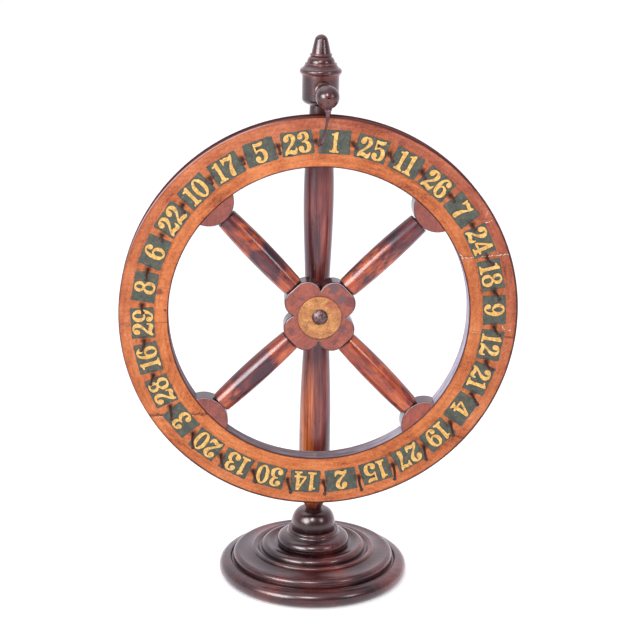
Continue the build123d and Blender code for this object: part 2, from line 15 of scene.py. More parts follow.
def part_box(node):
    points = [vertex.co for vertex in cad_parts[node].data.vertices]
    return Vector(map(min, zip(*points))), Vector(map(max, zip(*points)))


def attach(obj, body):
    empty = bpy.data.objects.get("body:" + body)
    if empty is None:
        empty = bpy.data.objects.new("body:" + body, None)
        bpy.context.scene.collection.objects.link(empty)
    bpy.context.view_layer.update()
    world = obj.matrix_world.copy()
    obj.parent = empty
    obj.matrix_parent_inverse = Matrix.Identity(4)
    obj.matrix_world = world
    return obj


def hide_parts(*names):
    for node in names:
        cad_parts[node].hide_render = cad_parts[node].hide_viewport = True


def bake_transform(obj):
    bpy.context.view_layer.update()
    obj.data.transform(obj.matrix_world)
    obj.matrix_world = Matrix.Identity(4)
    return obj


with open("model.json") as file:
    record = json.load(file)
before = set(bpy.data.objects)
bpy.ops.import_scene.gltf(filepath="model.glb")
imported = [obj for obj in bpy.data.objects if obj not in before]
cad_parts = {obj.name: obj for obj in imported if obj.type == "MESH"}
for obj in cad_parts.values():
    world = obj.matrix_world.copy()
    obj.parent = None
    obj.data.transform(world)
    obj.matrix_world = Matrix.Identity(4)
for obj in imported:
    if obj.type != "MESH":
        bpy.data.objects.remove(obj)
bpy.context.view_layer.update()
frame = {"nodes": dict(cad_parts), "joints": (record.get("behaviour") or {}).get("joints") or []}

nodes = frame["nodes"]
joints = {joint["name"]: joint for joint in frame["joints"]}
scene = bpy.context.scene

# ---- driving places, sizes and numbers ----
AXLE = Vector(joints["wheel_spin"]["pos_m"])
PIVOT = Vector(joints["flapper_flex"]["pos_m"])
RIM_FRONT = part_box("rim_left")[0].y
WHEEL_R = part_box("rim_upper")[1].z - AXLE.z
RIM_INNER_R = 0.1621
PEG_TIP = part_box("pegs")[0].y
PEG_CIRCLE_R = 0.190
FIRST_PEG_ANGLE = -2.2
PITCH = 12.0
NUMBER_COUNT = 30
NUMBERS = (
    1, 25, 11, 26, 7, 24, 18, 9, 12, 21, 4, 19, 27, 15, 2,
    14, 30, 13, 20, 3, 28, 16, 29, 8, 6, 22, 10, 17, 5, 23,
)
SPOKE_ANGLES = (46.4, 136.4, 226.4, 316.4)
SPOKE_START_R, SPOKE_END_R = 0.042, 0.1455
# How dark each spoke's stain is left, from 0 to 255, in even steps from the hub to the rim.
SPOKE_SHADES = (
    (0, 150, 130, 150, 250, 250), (70, 70, 120, 60, 100, 110), (0, 60, 240, 255, 130, 100),
    (0, 120, 240, 110, 120, 170),
)
BALL = Vector((PIVOT.x, PIVOT.y, 0.555))
BALL_R = 0.01225
# Each of the rim's glue joints: its clock angle at the outer and at the inner edge.
RIGHT_UPPER, RIGHT_LOWER = (71.2, 66.8), (96.6, 96.2)
LEFT_LOWER, LEFT_UPPER = (238.6, 227.4), (267.4, 267.8)
FOOT_NAIL_HOLE = Vector((0.0955, -0.0083, 0.0196))
MM = 0.001


def clock(radius, angle, y=0.0):
    """The point at this radius from the axle and this clock angle, at depth y."""
    turn = radians(angle)
    return Vector((radius * sin(turn), y, AXLE.z + radius * cos(turn)))


def linear(red, green, blue):
    """A colour given as 0 to 255 in sRGB, as Blender's linear RGBA."""
    out = []
    for value in (red / 255, green / 255, blue / 255):
        out.append(value / 12.92 if value <= 0.04045 else ((value + 0.055) / 1.055) ** 2.4)
    return (*out, 1.0)


# ---- a small writer of node trees ----
class Shading:
    """A node tree being written. Its methods add nodes and give back output sockets."""

    def __init__(self, tree):
        self.tree = tree

    def add(self, kind, inputs=(), **settings):
        """A new shader node, with its inputs set to values or fed from sockets."""
        node = self.tree.nodes.new("ShaderNode" + kind)
        for name, value in settings.items():
            setattr(node, name, value)
        for socket, value in dict(inputs).items():
            self.feed(node.inputs[socket], value)
        return node

    def feed(self, socket, value):
        if isinstance(value, bpy.types.NodeSocket):
            self.tree.links.new(value, socket)
        else:
            socket.default_value = value

    def math(self, operation, a, b=0.0):
        return self.add("Math", {0: a, 1: b}, operation=operation).outputs[0]

    def plus(self, a, b):
        return self.math("ADD", a, b)

    def minus(self, a, b):
        return self.math("SUBTRACT", a, b)

    def times(self, a, b):
        return self.math("MULTIPLY", a, b)

    def weigh(self, *pairs):
        """The sum of the values, each times its share. pairs: (value, share)."""
        total = self.times(*pairs[0])
        for pair in pairs[1:]:
            total = self.plus(total, self.times(*pair))
        return total

    def sway(self, noise, size):
        """A noise, which runs from 0 to 1, as an offset of up to half of size either way."""
        return self.times(self.minus(noise, 0.5), size)

    def vector(self, operation, a, b=(0, 0, 0)):
        node = self.add("VectorMath", {0: a, 1: b}, operation=operation)
        return node.outputs["Value" if operation in ("LENGTH", "DOT_PRODUCT") else "Vector"]

    def parts(self, vector):
        """A vector's X, Y and Z."""
        return self.add("SeparateXYZ", {0: vector}).outputs

    def noise(self, source, scale, detail=3.0, roughness=0.55, distortion=0.0):
        node = self.add("TexNoise", {
            "Vector": source, "Scale": scale, "Detail": detail,
            "Roughness": roughness, "Distortion": distortion,
        })
        return node.outputs["Fac"]

    def span(self, value, low, high, to_low=0.0, to_high=1.0):
        """Value from low to high taken smoothly to to_low .. to_high."""
        node = self.add("MapRange", {
            "Value": value, "From Min": low, "From Max": high,
            "To Min": to_low, "To Max": to_high,
        }, interpolation_type="SMOOTHSTEP")
        return node.outputs["Result"]

    def ramp(self, value, *stops):
        """Value through colour stops, each (position, (r, g, b) in sRGB)."""
        node = self.add("ValToRGB", {"Fac": value})
        elements = node.color_ramp.elements
        while len(elements) < len(stops):
            elements.new(0.5)
        for element, (position, colour) in zip(elements, stops):
            element.position = position
            element.color = linear(*colour)
        return node.outputs["Color"]

    def mix(self, share, a, b):
        """Colour a turned into colour b by share. Colours are sockets or sRGB triples."""
        node = self.add("Mix", data_type="RGBA")
        colours = [s for s in node.inputs if s.type == "RGBA"]
        self.feed(node.inputs["Factor"], share)
        for socket, value in zip(colours, (a, b)):
            self.feed(socket, linear(*value) if isinstance(value, tuple) else value)
        return next(s for s in node.outputs if s.type == "RGBA")


class Finish(Shading):
    """A procedural material being made on a Principled BSDF."""

    def __init__(self, name, **sockets):
        self.material = bpy.data.materials.new(name)
        self.material.use_nodes = True
        super().__init__(self.material.node_tree)
        self.shader = self.tree.nodes["Principled BSDF"]
        for socket, value in sockets.items():
            self.shader.inputs[socket.replace("_", " ")].default_value = value
        self.place = self.add("TexCoord").outputs["Object"]

    def mapped(self, scale=(1, 1, 1), turn=(0, 0, 0), shift=(0, 0, 0), source=None):
        """The place, shifted, turned (degrees) and stretched, for a pattern to follow."""
        turned = self.add("Mapping", {
            "Vector": source or self.place,
            "Location": shift,
            "Rotation": [radians(angle) for angle in turn],
        }).outputs[0]
        return self.vector("MULTIPLY", turned, scale)

    def distance(self, place):
        """How far the shaded point is from a place."""
        return self.vector("LENGTH", self.vector("SUBTRACT", self.place, tuple(place)))

    def corner(self, distance, inside):
        """0 to 1: how shut in a point is, or with inside, how far it stands out on an edge."""
        node = self.add(
            "AmbientOcclusion", {"Distance": distance}, inside=inside, only_local=True, samples=6,
        )
        return self.minus(1.0, node.outputs["AO"])

    def normal(self):
        """Which way the face looks, as X, Y and Z."""
        return self.parts(self.add("NewGeometry").outputs["Normal"])

    def flank(self):
        """0 on faces that look forward or back, 1 on those that look sideways, up or down."""
        return self.span(self.math("ABSOLUTE", self.normal()["Y"]), 0.62, 0.15)

    def bump(self, *layers):
        """The normal over layers of relief, each (height, distance), one over another."""
        normal = {}
        for height, distance in layers:
            node = self.add("Bump", {"Height": height, "Distance": distance, **normal})
            normal = {"Normal": node.outputs[0]}
        return normal["Normal"]

    def finish(self, colour, roughness=None, normal=None):
        for socket, value in (("Base Color", colour), ("Roughness", roughness), ("Normal", normal)):
            if value is not None:
                self.feed(self.shader.inputs[socket], value)
        return self.material


# ---- woods ----
RED_SHEEN = (1.0, 0.6, 0.62, 1)
LILAC_SHEEN = (0.92, 0.84, 1.0, 1)
NAIL_HOLE_R = 1.4 * MM


def dark_mahogany(name, stretch=(1, 1, 0.08), shift=(0, 0, 0), patches=(0.4, 0.1, 0.7), hole=None):
    """Stand wood: nearly black polished mahogany, redder where hands have worn it."""
    f = Finish(name, Coat_Weight=1.0, Coat_Roughness=0.24, Coat_IOR=1.5, IOR=1.38,
               Specular_Tint=RED_SHEEN)
    grain_place = f.mapped(scale=stretch, shift=shift)
    grain = f.noise(grain_place, 260, 4, 0.62)
    patch = f.noise(f.mapped(shift=patches), 17, 4, 0.5, 0.3)
    tone = f.weigh((grain, 0.34), (patch, 0.66))
    base = f.ramp(
        tone, (0.34, (18, 5, 11)), (0.45, (36, 11, 17)), (0.54, (68, 24, 26)),
        (0.66, (116, 48, 38)),
    )
    pore = f.span(f.noise(grain_place, 900, 2), 0.60, 0.74)
    base = f.mix(f.times(pore, 0.4), base, (22, 11, 13))
    edge = f.corner(0.006, True)
    worn = f.times(f.span(edge, 0.16, 0.50), f.span(patch, 0.30, 0.55))
    base = f.mix(f.times(worn, 0.55), base, (150, 74, 56))
    # Darker and rougher in the grooves: dirt, with painted shade.
    groove_dirt_and_shade = f.span(f.corner(0.008, False), 0.25, 0.75)
    base = f.mix(f.times(groove_dirt_and_shade, 0.8), base, (16, 8, 10))
    cloudy = f.span(f.noise(f.place, 60, 3), 0.3, 0.7, 0.26, 0.36)
    roughness = f.plus(cloudy, f.times(groove_dirt_and_shade, 0.25))
    if hole is not None:
        far = f.distance(hole)
        base = f.mix(f.span(far, NAIL_HOLE_R, 0.9 * MM), base, (4, 2, 3))
        roughness = f.plus(roughness, f.span(far, NAIL_HOLE_R, 0.9 * MM, 0, 0.5))
    ripple = f.bump((grain, 0.00004), (f.noise(f.place, 45, 2), 0.00015))
    return f.finish(base, roughness, ripple)


def post_mahogany():
    """The post: the same wood, its stain worn off in long orange streaks low down on one side."""
    f = Finish("post_mahogany", Coat_Weight=0.6, Coat_Roughness=0.18, IOR=1.42,
               Specular_Tint=LILAC_SHEEN)
    streak = f.noise(f.mapped(scale=(1, 1, 0.035)), 300, 4, 0.6)
    drift = f.noise(f.mapped(scale=(1, 1, 0.16), shift=(0.2, 0.6, 0.3)), 70, 4, 0.6, 0.4)
    tone = f.weigh((streak, 0.5), (drift, 0.5))
    dark = f.ramp(
        tone, (0.36, (40, 16, 21)), (0.46, (82, 33, 32)), (0.54, (122, 54, 46)),
        (0.66, (156, 84, 68)),
    )
    bright = f.ramp(
        tone, (0.36, (92, 38, 18)), (0.46, (158, 72, 26)), (0.54, (204, 108, 38)),
        (0.66, (226, 142, 66)),
    )
    across, _, height = f.parts(f.place)
    uneven = f.sway(drift, 0.03)
    side = f.span(f.plus(across, uneven), 0.004, -0.007)
    low = f.span(f.plus(height, uneven), 0.27, 0.20)
    wood = f.mix(f.times(f.times(side, low), 0.9), dark, bright)
    stain_place = f.mapped(scale=(1, 1, 0.3), shift=(0.7, 0.2, 0.9))
    stain = f.span(f.noise(stain_place, 90, 4, 0.6, 0.8), 0.57, 0.64)
    wood = f.mix(f.times(stain, 0.5), wood, (40, 17, 18))
    # Painted shade: darker just under the collar and just above the pedestal.
    shade_under_collar = f.span(height, 0.50, 0.54)
    wood = f.mix(f.times(shade_under_collar, 0.7), wood, (34, 16, 19))
    shade_over_pedestal = f.span(height, 0.088, 0.078)
    wood = f.mix(f.times(shade_over_pedestal, 0.7), wood, (40, 18, 18))
    # Painted shade: darker on the faces that turn sideways.
    wood = f.mix(f.times(f.flank(), 0.5), wood, (34, 13, 14))
    roughness = f.span(drift, 0.3, 0.7, 0.28, 0.40)
    return f.finish(wood, roughness, f.bump((streak, 0.00006)))


def face_offset(f, place):
    """The way from a place to the shaded point, along the wheel's face."""
    return f.vector("MULTIPLY", f.vector("SUBTRACT", f.place, tuple(place)), (1, 0, 1))


def wheel_polar(f):
    """Radius from the axle and clock angle in radians of the shaded point."""
    flat = face_offset(f, (0, 0, AXLE.z))
    across, _, height = f.parts(flat)
    return f.vector("LENGTH", flat), f.math("ARCTAN2", across, height)


def peg_distance(f, radius, angle):
    """Distance of the shaded point from the nearest peg's foot, along the rim's face."""
    step = radians(PITCH)
    along = f.math("DIVIDE", f.minus(angle, radians(FIRST_PEG_ANGLE)), step)
    phase = f.minus(along, f.math("ROUND", along))
    across = f.times(phase, step * PEG_CIRCLE_R)
    out = f.minus(radius, PEG_CIRCLE_R)
    return f.vector("LENGTH", f.add("CombineXYZ", {0: across, 1: out}).outputs[0])


def mark_distance(f, start, end, wobble):
    """Distance from the wandering line between two points on the rim's face."""
    along = (end - start).normalized()
    across = Vector((along.z, 0, -along.x))
    offset = face_offset(f, start)
    run = f.vector("DOT_PRODUCT", offset, tuple(along))
    side = f.plus(f.vector("DOT_PRODUCT", offset, tuple(across)), wobble)
    beyond = f.math("MAXIMUM", f.minus(run, (end - start).length), 0.0)
    past = f.plus(beyond, f.math("MINIMUM", run, 0.0))
    return f.vector("LENGTH", f.add("CombineXYZ", {0: side, 1: past}).outputs[0])


class Mark:
    """A line on the rim's face: its two ends as (radius in mm, clock angle), and its look."""

    def __init__(self, start, end, colour, half_width, wander=1.0, shade=0.35):
        self.start, self.end = clock(start[0] * MM, start[1]), clock(end[0] * MM, end[1])
        self.colour, self.half_width = colour, half_width * MM
        self.wander, self.shade = wander * MM, shade


def rim_mahogany(name, grain_angle, side, marks, smudges, shift):
    """Rim wood: orange-brown varnished mahogany, with its joints, scratches and smudges.

    side is 1, or -1 for the lower felloe, so that the lathe marks' seam falls outside the piece.
    """
    f = Finish(name, Coat_Weight=0.05, Coat_Roughness=0.35, IOR=1.33)
    radius, angle = wheel_polar(f)
    across, depth, height = f.parts(f.place)
    above = f.minus(height, AXLE.z)
    turn = f.math("ARCTAN2", f.times(across, side), f.times(above, side))
    lathe = f.add("CombineXYZ", {0: f.times(turn, 0.016), 1: radius, 2: depth}).outputs[0]
    along = f.mapped(scale=(0.07, 1, 1), turn=(0, grain_angle, 0), shift=shift)
    shifted = f.mapped(shift=shift)
    grain = f.noise(along, 330, 5, 0.65, 0.15)
    streak = f.noise(f.vector("ADD", lathe, shift), 210, 4, 0.6, 0.5)
    cloud = f.noise(shifted, 22, 5, 0.6)
    fleck = f.noise(shifted, 420, 4, 0.7)
    tone = f.weigh((grain, 0.15), (streak, 0.27), (cloud, 0.32), (fleck, 0.26))
    inner = f.ramp(
        tone, (0.38, (124, 58, 28)), (0.46, (182, 98, 50)), (0.53, (204, 119, 66)),
        (0.64, (224, 146, 92)),
    )
    outer = f.ramp(
        tone, (0.38, (102, 46, 32)), (0.46, (154, 78, 56)), (0.53, (176, 98, 70)),
        (0.64, (206, 132, 100)),
    )
    ragged = f.sway(cloud, 0.05)
    upper = f.span(height, AXLE.z - 0.16, AXLE.z + 0.12, 0.2, 1.0)
    band = f.span(f.plus(radius, ragged), 0.186, 0.206, 0.15, 1.0)
    redder = f.times(upper, f.span(across, -0.16, 0.04, 0.45, 1.0))
    wood = f.mix(f.times(band, redder), inner, outer)
    wood = f.mix(f.span(across, 0.06, 0.18, 0, 0.10), wood, (96, 40, 26))

    # pores, dirt and fine scratches
    pore = f.noise(f.mapped(scale=(0.16, 1, 1), turn=(0, grain_angle, 0), shift=shift), 1100, 2)
    wood = f.mix(f.times(f.span(pore, 0.58, 0.72), 0.24), wood, (74, 30, 20))
    dirt = f.span(f.noise(shifted, 210, 4, 0.7, 0.6), 0.58, 0.68)
    wood = f.mix(f.times(dirt, 0.30), wood, (84, 36, 28))
    scratch_place = f.mapped(scale=(0.10, 1, 1), turn=(0, grain_angle + 57, 0), shift=shift)
    scratch = f.span(f.noise(scratch_place, 620, 2, 0.5), 0.66, 0.74)
    scratched = f.times(scratch, f.times(band, f.span(cloud, 0.44, 0.60)))
    wood = f.mix(f.times(scratched, 0.45), wood, (226, 168, 142))

    # painted shade round each peg's foot, then the marks and the smudges
    peg_shade = f.plus(peg_distance(f, radius, angle), f.sway(f.noise(f.place, 260, 3), 0.005))
    wood = f.mix(f.span(peg_shade, 0.0056, 0.0016, 0.0, 0.8), wood, (52, 22, 20))
    wander = f.minus(f.noise(f.place, 300, 4, 0.6), 0.5)
    broken = f.span(f.noise(f.place, 700, 2), 0.38, 0.52)
    for mark in marks:
        far = mark_distance(f, mark.start, mark.end, f.times(wander, mark.wander * 4))
        width = mark.half_width
        wood = f.mix(f.span(far, width * 5, width, 0, mark.shade), wood, (58, 24, 22))
        line = f.span(far, width * 1.5, width * 0.6, 0, 0.85)
        wood = f.mix(f.times(line, broken), wood, mark.colour)
    for place, reach, colour in smudges:
        far = f.plus(f.distance(place), f.times(wander, reach * 1.6))
        wood = f.mix(f.span(far, reach, reach * 0.4, 0, 0.7), wood, colour)

    # darker borders of the face: dark stain along both, the outer one with painted shade, deeper away
    # from the upper left
    stained = f.plus(radius, f.sway(f.noise(f.place, 120, 3), 0.0014))
    # Painted shade: the outer border's stain stays faint on the upper left and deepens elsewhere.
    shaded = f.span(f.minus(across, f.times(above, 0.6)), -0.14, -0.02, 0.2, 0.95)
    outer_edge = f.times(shaded, f.span(stained, WHEEL_R - 0.0028, WHEEL_R - 0.0014))
    inner_edge = f.span(stained, RIM_INNER_R + 0.0020, RIM_INNER_R + 0.0008, 0, 0.85)
    wood = f.mix(outer_edge, wood, (62, 22, 18))
    wood = f.mix(inner_edge, wood, (84, 38, 32))

    # the turned edges outside and inside, the back and the chamfer, with painted reflection on the
    # inner side and a painted highlight on the chamfer
    _, facing, upward = f.normal()
    turned_edge = f.span(facing, -0.62, -0.38)
    chamfer = f.times(f.span(facing, -0.94, -0.84), f.span(facing, -0.46, -0.56))
    streak_place = f.add("CombineXYZ", {0: f.times(angle, 0.02), 1: depth}).outputs[0]
    stain = f.noise(streak_place, 260, 4, 0.6)
    outside = f.ramp(stain, (0.36, (30, 12, 13)), (0.52, (50, 21, 20)), (0.68, (86, 38, 30)))
    varnished = f.span(depth, RIM_FRONT + 0.011, RIM_FRONT + 0.004)
    outside = f.mix(f.times(varnished, 0.8), outside, (130, 60, 42))
    # The inner side: greyish lilac, dust with painted reflection of the bright surroundings, paler
    # towards the right.
    inside = f.ramp(stain, (0.36, (98, 86, 92)), (0.52, (124, 112, 118)), (0.68, (152, 140, 146)))
    painted_sheen_right = f.ramp(
        stain, (0.36, (160, 154, 170)), (0.52, (190, 186, 200)), (0.68, (214, 212, 224)))
    inside = f.mix(f.span(across, 0.02, 0.12), inside, painted_sheen_right)
    outer_half = f.span(radius, 0.18, 0.20)
    plain = wood
    wood = f.mix(turned_edge, wood, f.mix(outer_half, inside, outside))
    wood = f.mix(f.span(facing, 0.40, 0.75), wood, f.mix(0.68, plain, (46, 21, 20)))
    wood = f.mix(f.times(chamfer, 0.9), wood, (58, 22, 20))
    # Painted highlight: a pale lilac line on the chamfer where it faces up, on the upper left.
    rubbed = f.times(f.times(chamfer, f.span(upward, 0.10, 0.40)), outer_half)
    rubbed = f.times(rubbed, f.span(across, -0.02, -0.08, 0, 0.8))
    wood = f.mix(rubbed, wood, (196, 160, 160))

    roughness = f.span(f.noise(f.mapped(shift=(3, 1, 2)), 110, 4), 0.3, 0.7, 0.44, 0.60)
    roughness = f.plus(roughness, f.times(turned_edge, 0.32))
    f.feed(f.shader.inputs["Specular IOR Level"], f.span(facing, -0.62, -0.38, 0.5, 0.1))
    relief = f.bump((grain, 0.00008), (fleck, 0.00008), (cloud, 0.0005))
    return f.finish(wood, roughness, relief)


def spoke_mahogany(name, angle, shades, shift):
    """Spoke wood: french-polished, from orange to nearly black. shades: how dark, hub to rim."""
    f = Finish(name, Coat_Weight=0.6, Coat_Roughness=0.17, IOR=1.4, Specular_Tint=LILAC_SHEEN)
    from_axle = f.vector("SUBTRACT", f.place, tuple(AXLE))
    along = f.mapped(scale=(1, 1, 0.25), turn=(0, -angle, 0), source=from_axle)
    shifted = f.vector("ADD", along, shift)
    mottle = f.noise(shifted, 70, 4, 0.62, 0.7)
    grain = f.noise(f.vector("MULTIPLY", shifted, (1, 1, 0.30)), 480, 4, 0.65)
    tone = f.weigh((mottle, 0.70), (grain, 0.30))
    bright = f.ramp(
        tone, (0.36, (104, 37, 20)), (0.46, (150, 62, 31)), (0.54, (182, 85, 42)),
        (0.66, (212, 118, 64)),
    )
    dark = f.ramp(
        tone, (0.36, (32, 13, 22)), (0.46, (56, 24, 32)), (0.54, (92, 37, 37)),
        (0.66, (136, 58, 44)),
    )
    radius, _ = wheel_polar(f)
    ragged = f.noise(f.vector("MULTIPLY", shifted, (1, 1, 2.2)), 95, 4, 0.6, 0.9)
    reach = f.add("MapRange", {
        "Value": radius, "From Min": SPOKE_START_R, "From Max": SPOKE_END_R,
    }).outputs["Result"]
    steps = [(i / (len(shades) - 1), (shade, shade, shade)) for i, shade in enumerate(shades)]
    shade = f.math("POWER", f.ramp(reach, *steps), 1 / 2.2)
    wood = f.mix(f.span(f.plus(shade, f.sway(ragged, 1.5)), 0.28, 0.74), bright, dark)
    fleck = f.span(f.noise(f.vector("MULTIPLY", shifted, (1, 1, 0.8)), 640, 3), 0.60, 0.70)
    wood = f.mix(f.times(fleck, 0.35), wood, (44, 16, 16))
    near_hub = f.span(radius, SPOKE_START_R + 0.003, SPOKE_START_R + 0.001)
    rings = f.plus(near_hub, f.span(radius, SPOKE_END_R - 0.003, SPOKE_END_R - 0.0005))
    wood = f.mix(f.times(rings, 0.7), wood, (34, 13, 15))
    # Painted shade: darker on the faces that turn sideways.
    wood = f.mix(f.times(f.flank(), 0.6), wood, (34, 12, 16))
    roughness = f.span(f.noise(f.place, 90, 3), 0.3, 0.7, 0.30, 0.44)
    relief = f.bump((grain, 0.00004), (f.noise(f.place, 40, 2), 0.00012))
    return f.finish(wood, roughness, relief)


def block_mahogany(name, base_low, base_high, patches, grain_angle, shift):
    """Hub and block wood: red-brown with fine pores, dark sides and (place, reach, colour) stains."""
    f = Finish(name, Coat_Weight=0.4, Coat_Roughness=0.2, IOR=1.48)
    along = f.mapped(scale=(0.14, 1, 1), turn=(0, grain_angle, 0), shift=shift)
    shifted = f.mapped(shift=shift)
    grain = f.noise(along, 520, 4, 0.66)
    cloud = f.noise(shifted, 70, 4, 0.62, 0.5)
    fleck = f.noise(shifted, 480, 3, 0.7)
    tone = f.weigh((grain, 0.32), (cloud, 0.40), (fleck, 0.28))
    middle = tuple((a + b) / 2 for a, b in zip(base_low, base_high))
    wood = f.ramp(tone, (0.36, base_low), (0.5, middle), (0.66, base_high))
    uneven = f.minus(f.noise(shifted, 130, 4, 0.65, 0.8), 0.5)
    for place, reach, colour in patches:
        far = f.plus(f.distance(place), f.times(uneven, reach * 3.0))
        wood = f.mix(f.span(far, reach, reach * 0.5, 0, 0.85), wood, colour)
    blotch = f.span(f.noise(shifted, 150, 4, 0.65, 1.0), 0.56, 0.66)
    wood = f.mix(f.times(blotch, 0.5), wood, (76, 36, 40))
    # Painted highlight: a pale line along the rounded edges.
    worn = f.span(f.corner(0.0016, True), 0.40, 0.85)
    wood = f.mix(f.times(worn, 0.25), wood, (206, 150, 132))
    _, facing, upward = f.normal()
    line = f.times(f.span(facing, -0.99, -0.94), f.span(facing, -0.80, -0.88))
    wood = f.mix(f.times(line, 0.7), wood, (62, 28, 28))
    plain = wood
    wood = f.mix(f.span(facing, -0.90, -0.72, 0, 0.95), wood, (30, 14, 18))
    wood = f.mix(f.span(facing, 0.60, 0.90), wood, f.mix(0.55, plain, (44, 20, 20)))
    glint = f.times(f.span(facing, -0.92, -0.84), f.span(facing, -0.62, -0.72))
    glint = f.times(glint, f.span(upward, 0.15, 0.45))
    wood = f.mix(f.times(glint, 0.7), wood, (200, 176, 184))
    roughness = f.span(facing, -0.80, -0.35, 0.46, 0.26)
    return f.finish(wood, roughness, f.bump((grain, 0.00007)))


# ---- paper, gilt, metal, leather ----
def card_paper():
    """Grey-green printed card, mottled, rubbed pale at its cut edges, with painted shade round the
    pegs.
    """
    f = Finish("card_paper", Coat_Weight=0.08, Coat_Roughness=0.4, IOR=1.4)
    mottle = f.noise(f.place, 170, 4, 0.65)
    fine = f.noise(f.place, 1000, 3, 0.65)
    tone = f.weigh((mottle, 0.55), (fine, 0.45))
    colour = f.ramp(
        tone, (0.36, (50, 57, 52)), (0.46, (64, 73, 65)), (0.55, (76, 86, 76)),
        (0.68, (108, 114, 104)),
    )
    # Painted shade round each peg's foot.
    peg_shade = f.plus(peg_distance(f, *wheel_polar(f)), f.sway(mottle, 0.008))
    colour = f.mix(f.span(peg_shade, 0.0070, 0.0030, 0, 0.7), colour, (40, 28, 28))
    worn = f.span(f.corner(0.0010, True), 0.45, 0.85)
    chipped = f.span(f.noise(f.place, 420, 3, 0.6), 0.44, 0.62)
    colour = f.mix(f.times(f.times(worn, chipped), 0.16), colour, (136, 96, 66))
    return f.finish(colour, f.span(mottle, 0.3, 0.7, 0.60, 0.75), f.bump((fine, 0.00004)))


def gilt(name, low, middle, high, rubbed):
    """Numeral colour: old gold print, uneven, and rubbed through in small flecks."""
    f = Finish(name, Coat_Weight=0.08, Coat_Roughness=0.4, IOR=1.4)
    mottle = f.noise(f.place, 260, 4, 0.65)
    fine = f.noise(f.place, 1100, 3, 0.65)
    tone = f.weigh((mottle, 0.6), (fine, 0.4))
    colour = f.ramp(tone, (0.38, low), (0.50, middle), (0.62, high))
    gone = f.span(f.noise(f.mapped(shift=(2, 3, 1)), 420, 4, 0.7), 0.57, 0.66)
    colour = f.mix(f.times(gone, 0.6), colour, rubbed)
    return f.finish(colour, f.span(fine, 0.3, 0.7, 0.50, 0.66), f.bump((fine, 0.00003)))


def old_brass(name):
    """Aged brass: dull gold with red-brown tarnish, bright rubbed specks and shallow dents."""
    f = Finish(name, Metallic=0.35, Coat_Weight=0.1, Coat_Roughness=0.35)
    mottle = f.noise(f.place, 120, 4, 0.65, 0.6)
    fine = f.noise(f.place, 800, 4, 0.7)
    tone = f.weigh((mottle, 0.6), (fine, 0.4))
    colour = f.ramp(
        tone, (0.36, (126, 80, 48)), (0.46, (170, 112, 64)), (0.56, (194, 136, 80)),
        (0.68, (220, 168, 112)),
    )
    far = f.vector("LENGTH", face_offset(f, AXLE + Vector((0.014, 0, 0.013))))
    far = f.plus(far, f.sway(mottle, 0.04))
    colour = f.mix(f.span(far, 0.017, 0.003, 0, 0.65), colour, (160, 84, 62))
    low = f.span(f.parts(f.place)["Z"], AXLE.z + 0.004, AXLE.z - 0.010, 0.35, 0.9)
    colour = f.mix(f.times(f.span(fine, 0.62, 0.70), low), colour, (255, 232, 190))
    dirt = f.span(f.corner(0.0025, False), 0.30, 0.75)
    colour = f.mix(f.times(dirt, 0.75), colour, (66, 38, 30))
    roughness = f.span(mottle, 0.3, 0.7, 0.42, 0.60)
    return f.finish(colour, roughness, f.bump((mottle, 0.0006), (fine, 0.00010)))


def iron(name, low, high, roughness=0.4, metallic=0.7):
    """Blackened iron with a brown bloom of rust."""
    f = Finish(name, Metallic=metallic)
    mottle = f.noise(f.place, 420, 4, 0.6)
    colour = f.ramp(mottle, (0.36, low), (0.64, high))
    rust = f.span(f.noise(f.place, 190, 3, 0.6, 0.5), 0.52, 0.64)
    colour = f.mix(f.times(rust, 0.5), colour, (70, 34, 24))
    rough = f.span(mottle, 0.3, 0.7, roughness, roughness + 0.18)
    return f.finish(colour, rough, f.bump((mottle, 0.00012)))


def leather():
    """Oxblood leather strap, darkened by handling, with pressed grain and pale rubbed edges."""
    f = Finish("oxblood_leather", Coat_Weight=0.15, Coat_Roughness=0.35)
    pebble = f.add("TexVoronoi", {"Vector": f.place, "Scale": 1500.0}).outputs["Distance"]
    mottle = f.noise(f.place, 160, 3, 0.6)
    colour = f.ramp(mottle, (0.34, (42, 18, 26)), (0.5, (72, 34, 42)), (0.68, (112, 66, 72)))
    worn = f.span(f.corner(0.0012, True), 0.4, 0.85)
    colour = f.mix(f.times(worn, 0.5), colour, (178, 138, 140))
    relief = f.bump((pebble, 0.0001), (mottle, 0.0003))
    return f.finish(colour, f.span(mottle, 0.3, 0.7, 0.42, 0.58), relief)


# ---- mesh helpers ----
def new_object(name, data):
    """An object made from data, put in the scene."""
    made = bpy.data.objects.new(name, data)
    scene.collection.objects.link(made)
    return made


def mesh_piece(name, vertices, faces, materials, smooth=True):
    """A new object from vertices and faces, closed and facing outward."""
    mesh = bpy.data.meshes.new(name)
    mesh.from_pydata([tuple(v) for v in vertices], [], faces)
    build = bmesh.new()
    build.from_mesh(mesh)
    bmesh.ops.remove_doubles(build, verts=build.verts, dist=1e-7)
    bmesh.ops.recalc_face_normals(build, faces=build.faces)
    build.to_mesh(mesh)
    build.free()
    for material in materials:
        mesh.materials.append(material)
    for polygon in mesh.polygons:
        polygon.use_smooth = smooth
    return new_object(name, mesh)


def ring_faces(rings, sides, first=0):
    """Faces of a closed tube, whose vertices come ring after ring, from index first on."""
    faces = []
    for i in range(rings - 1):
        for j in range(sides):
            k = (j + 1) % sides
            a, b = first + i * sides, first + (i + 1) * sides
            faces.append((a + j, a + k, b + k, b + j))
    faces.append(tuple(first + j for j in reversed(range(sides))))
    faces.append(tuple(first + (rings - 1) * sides + j for j in range(sides)))
    return faces


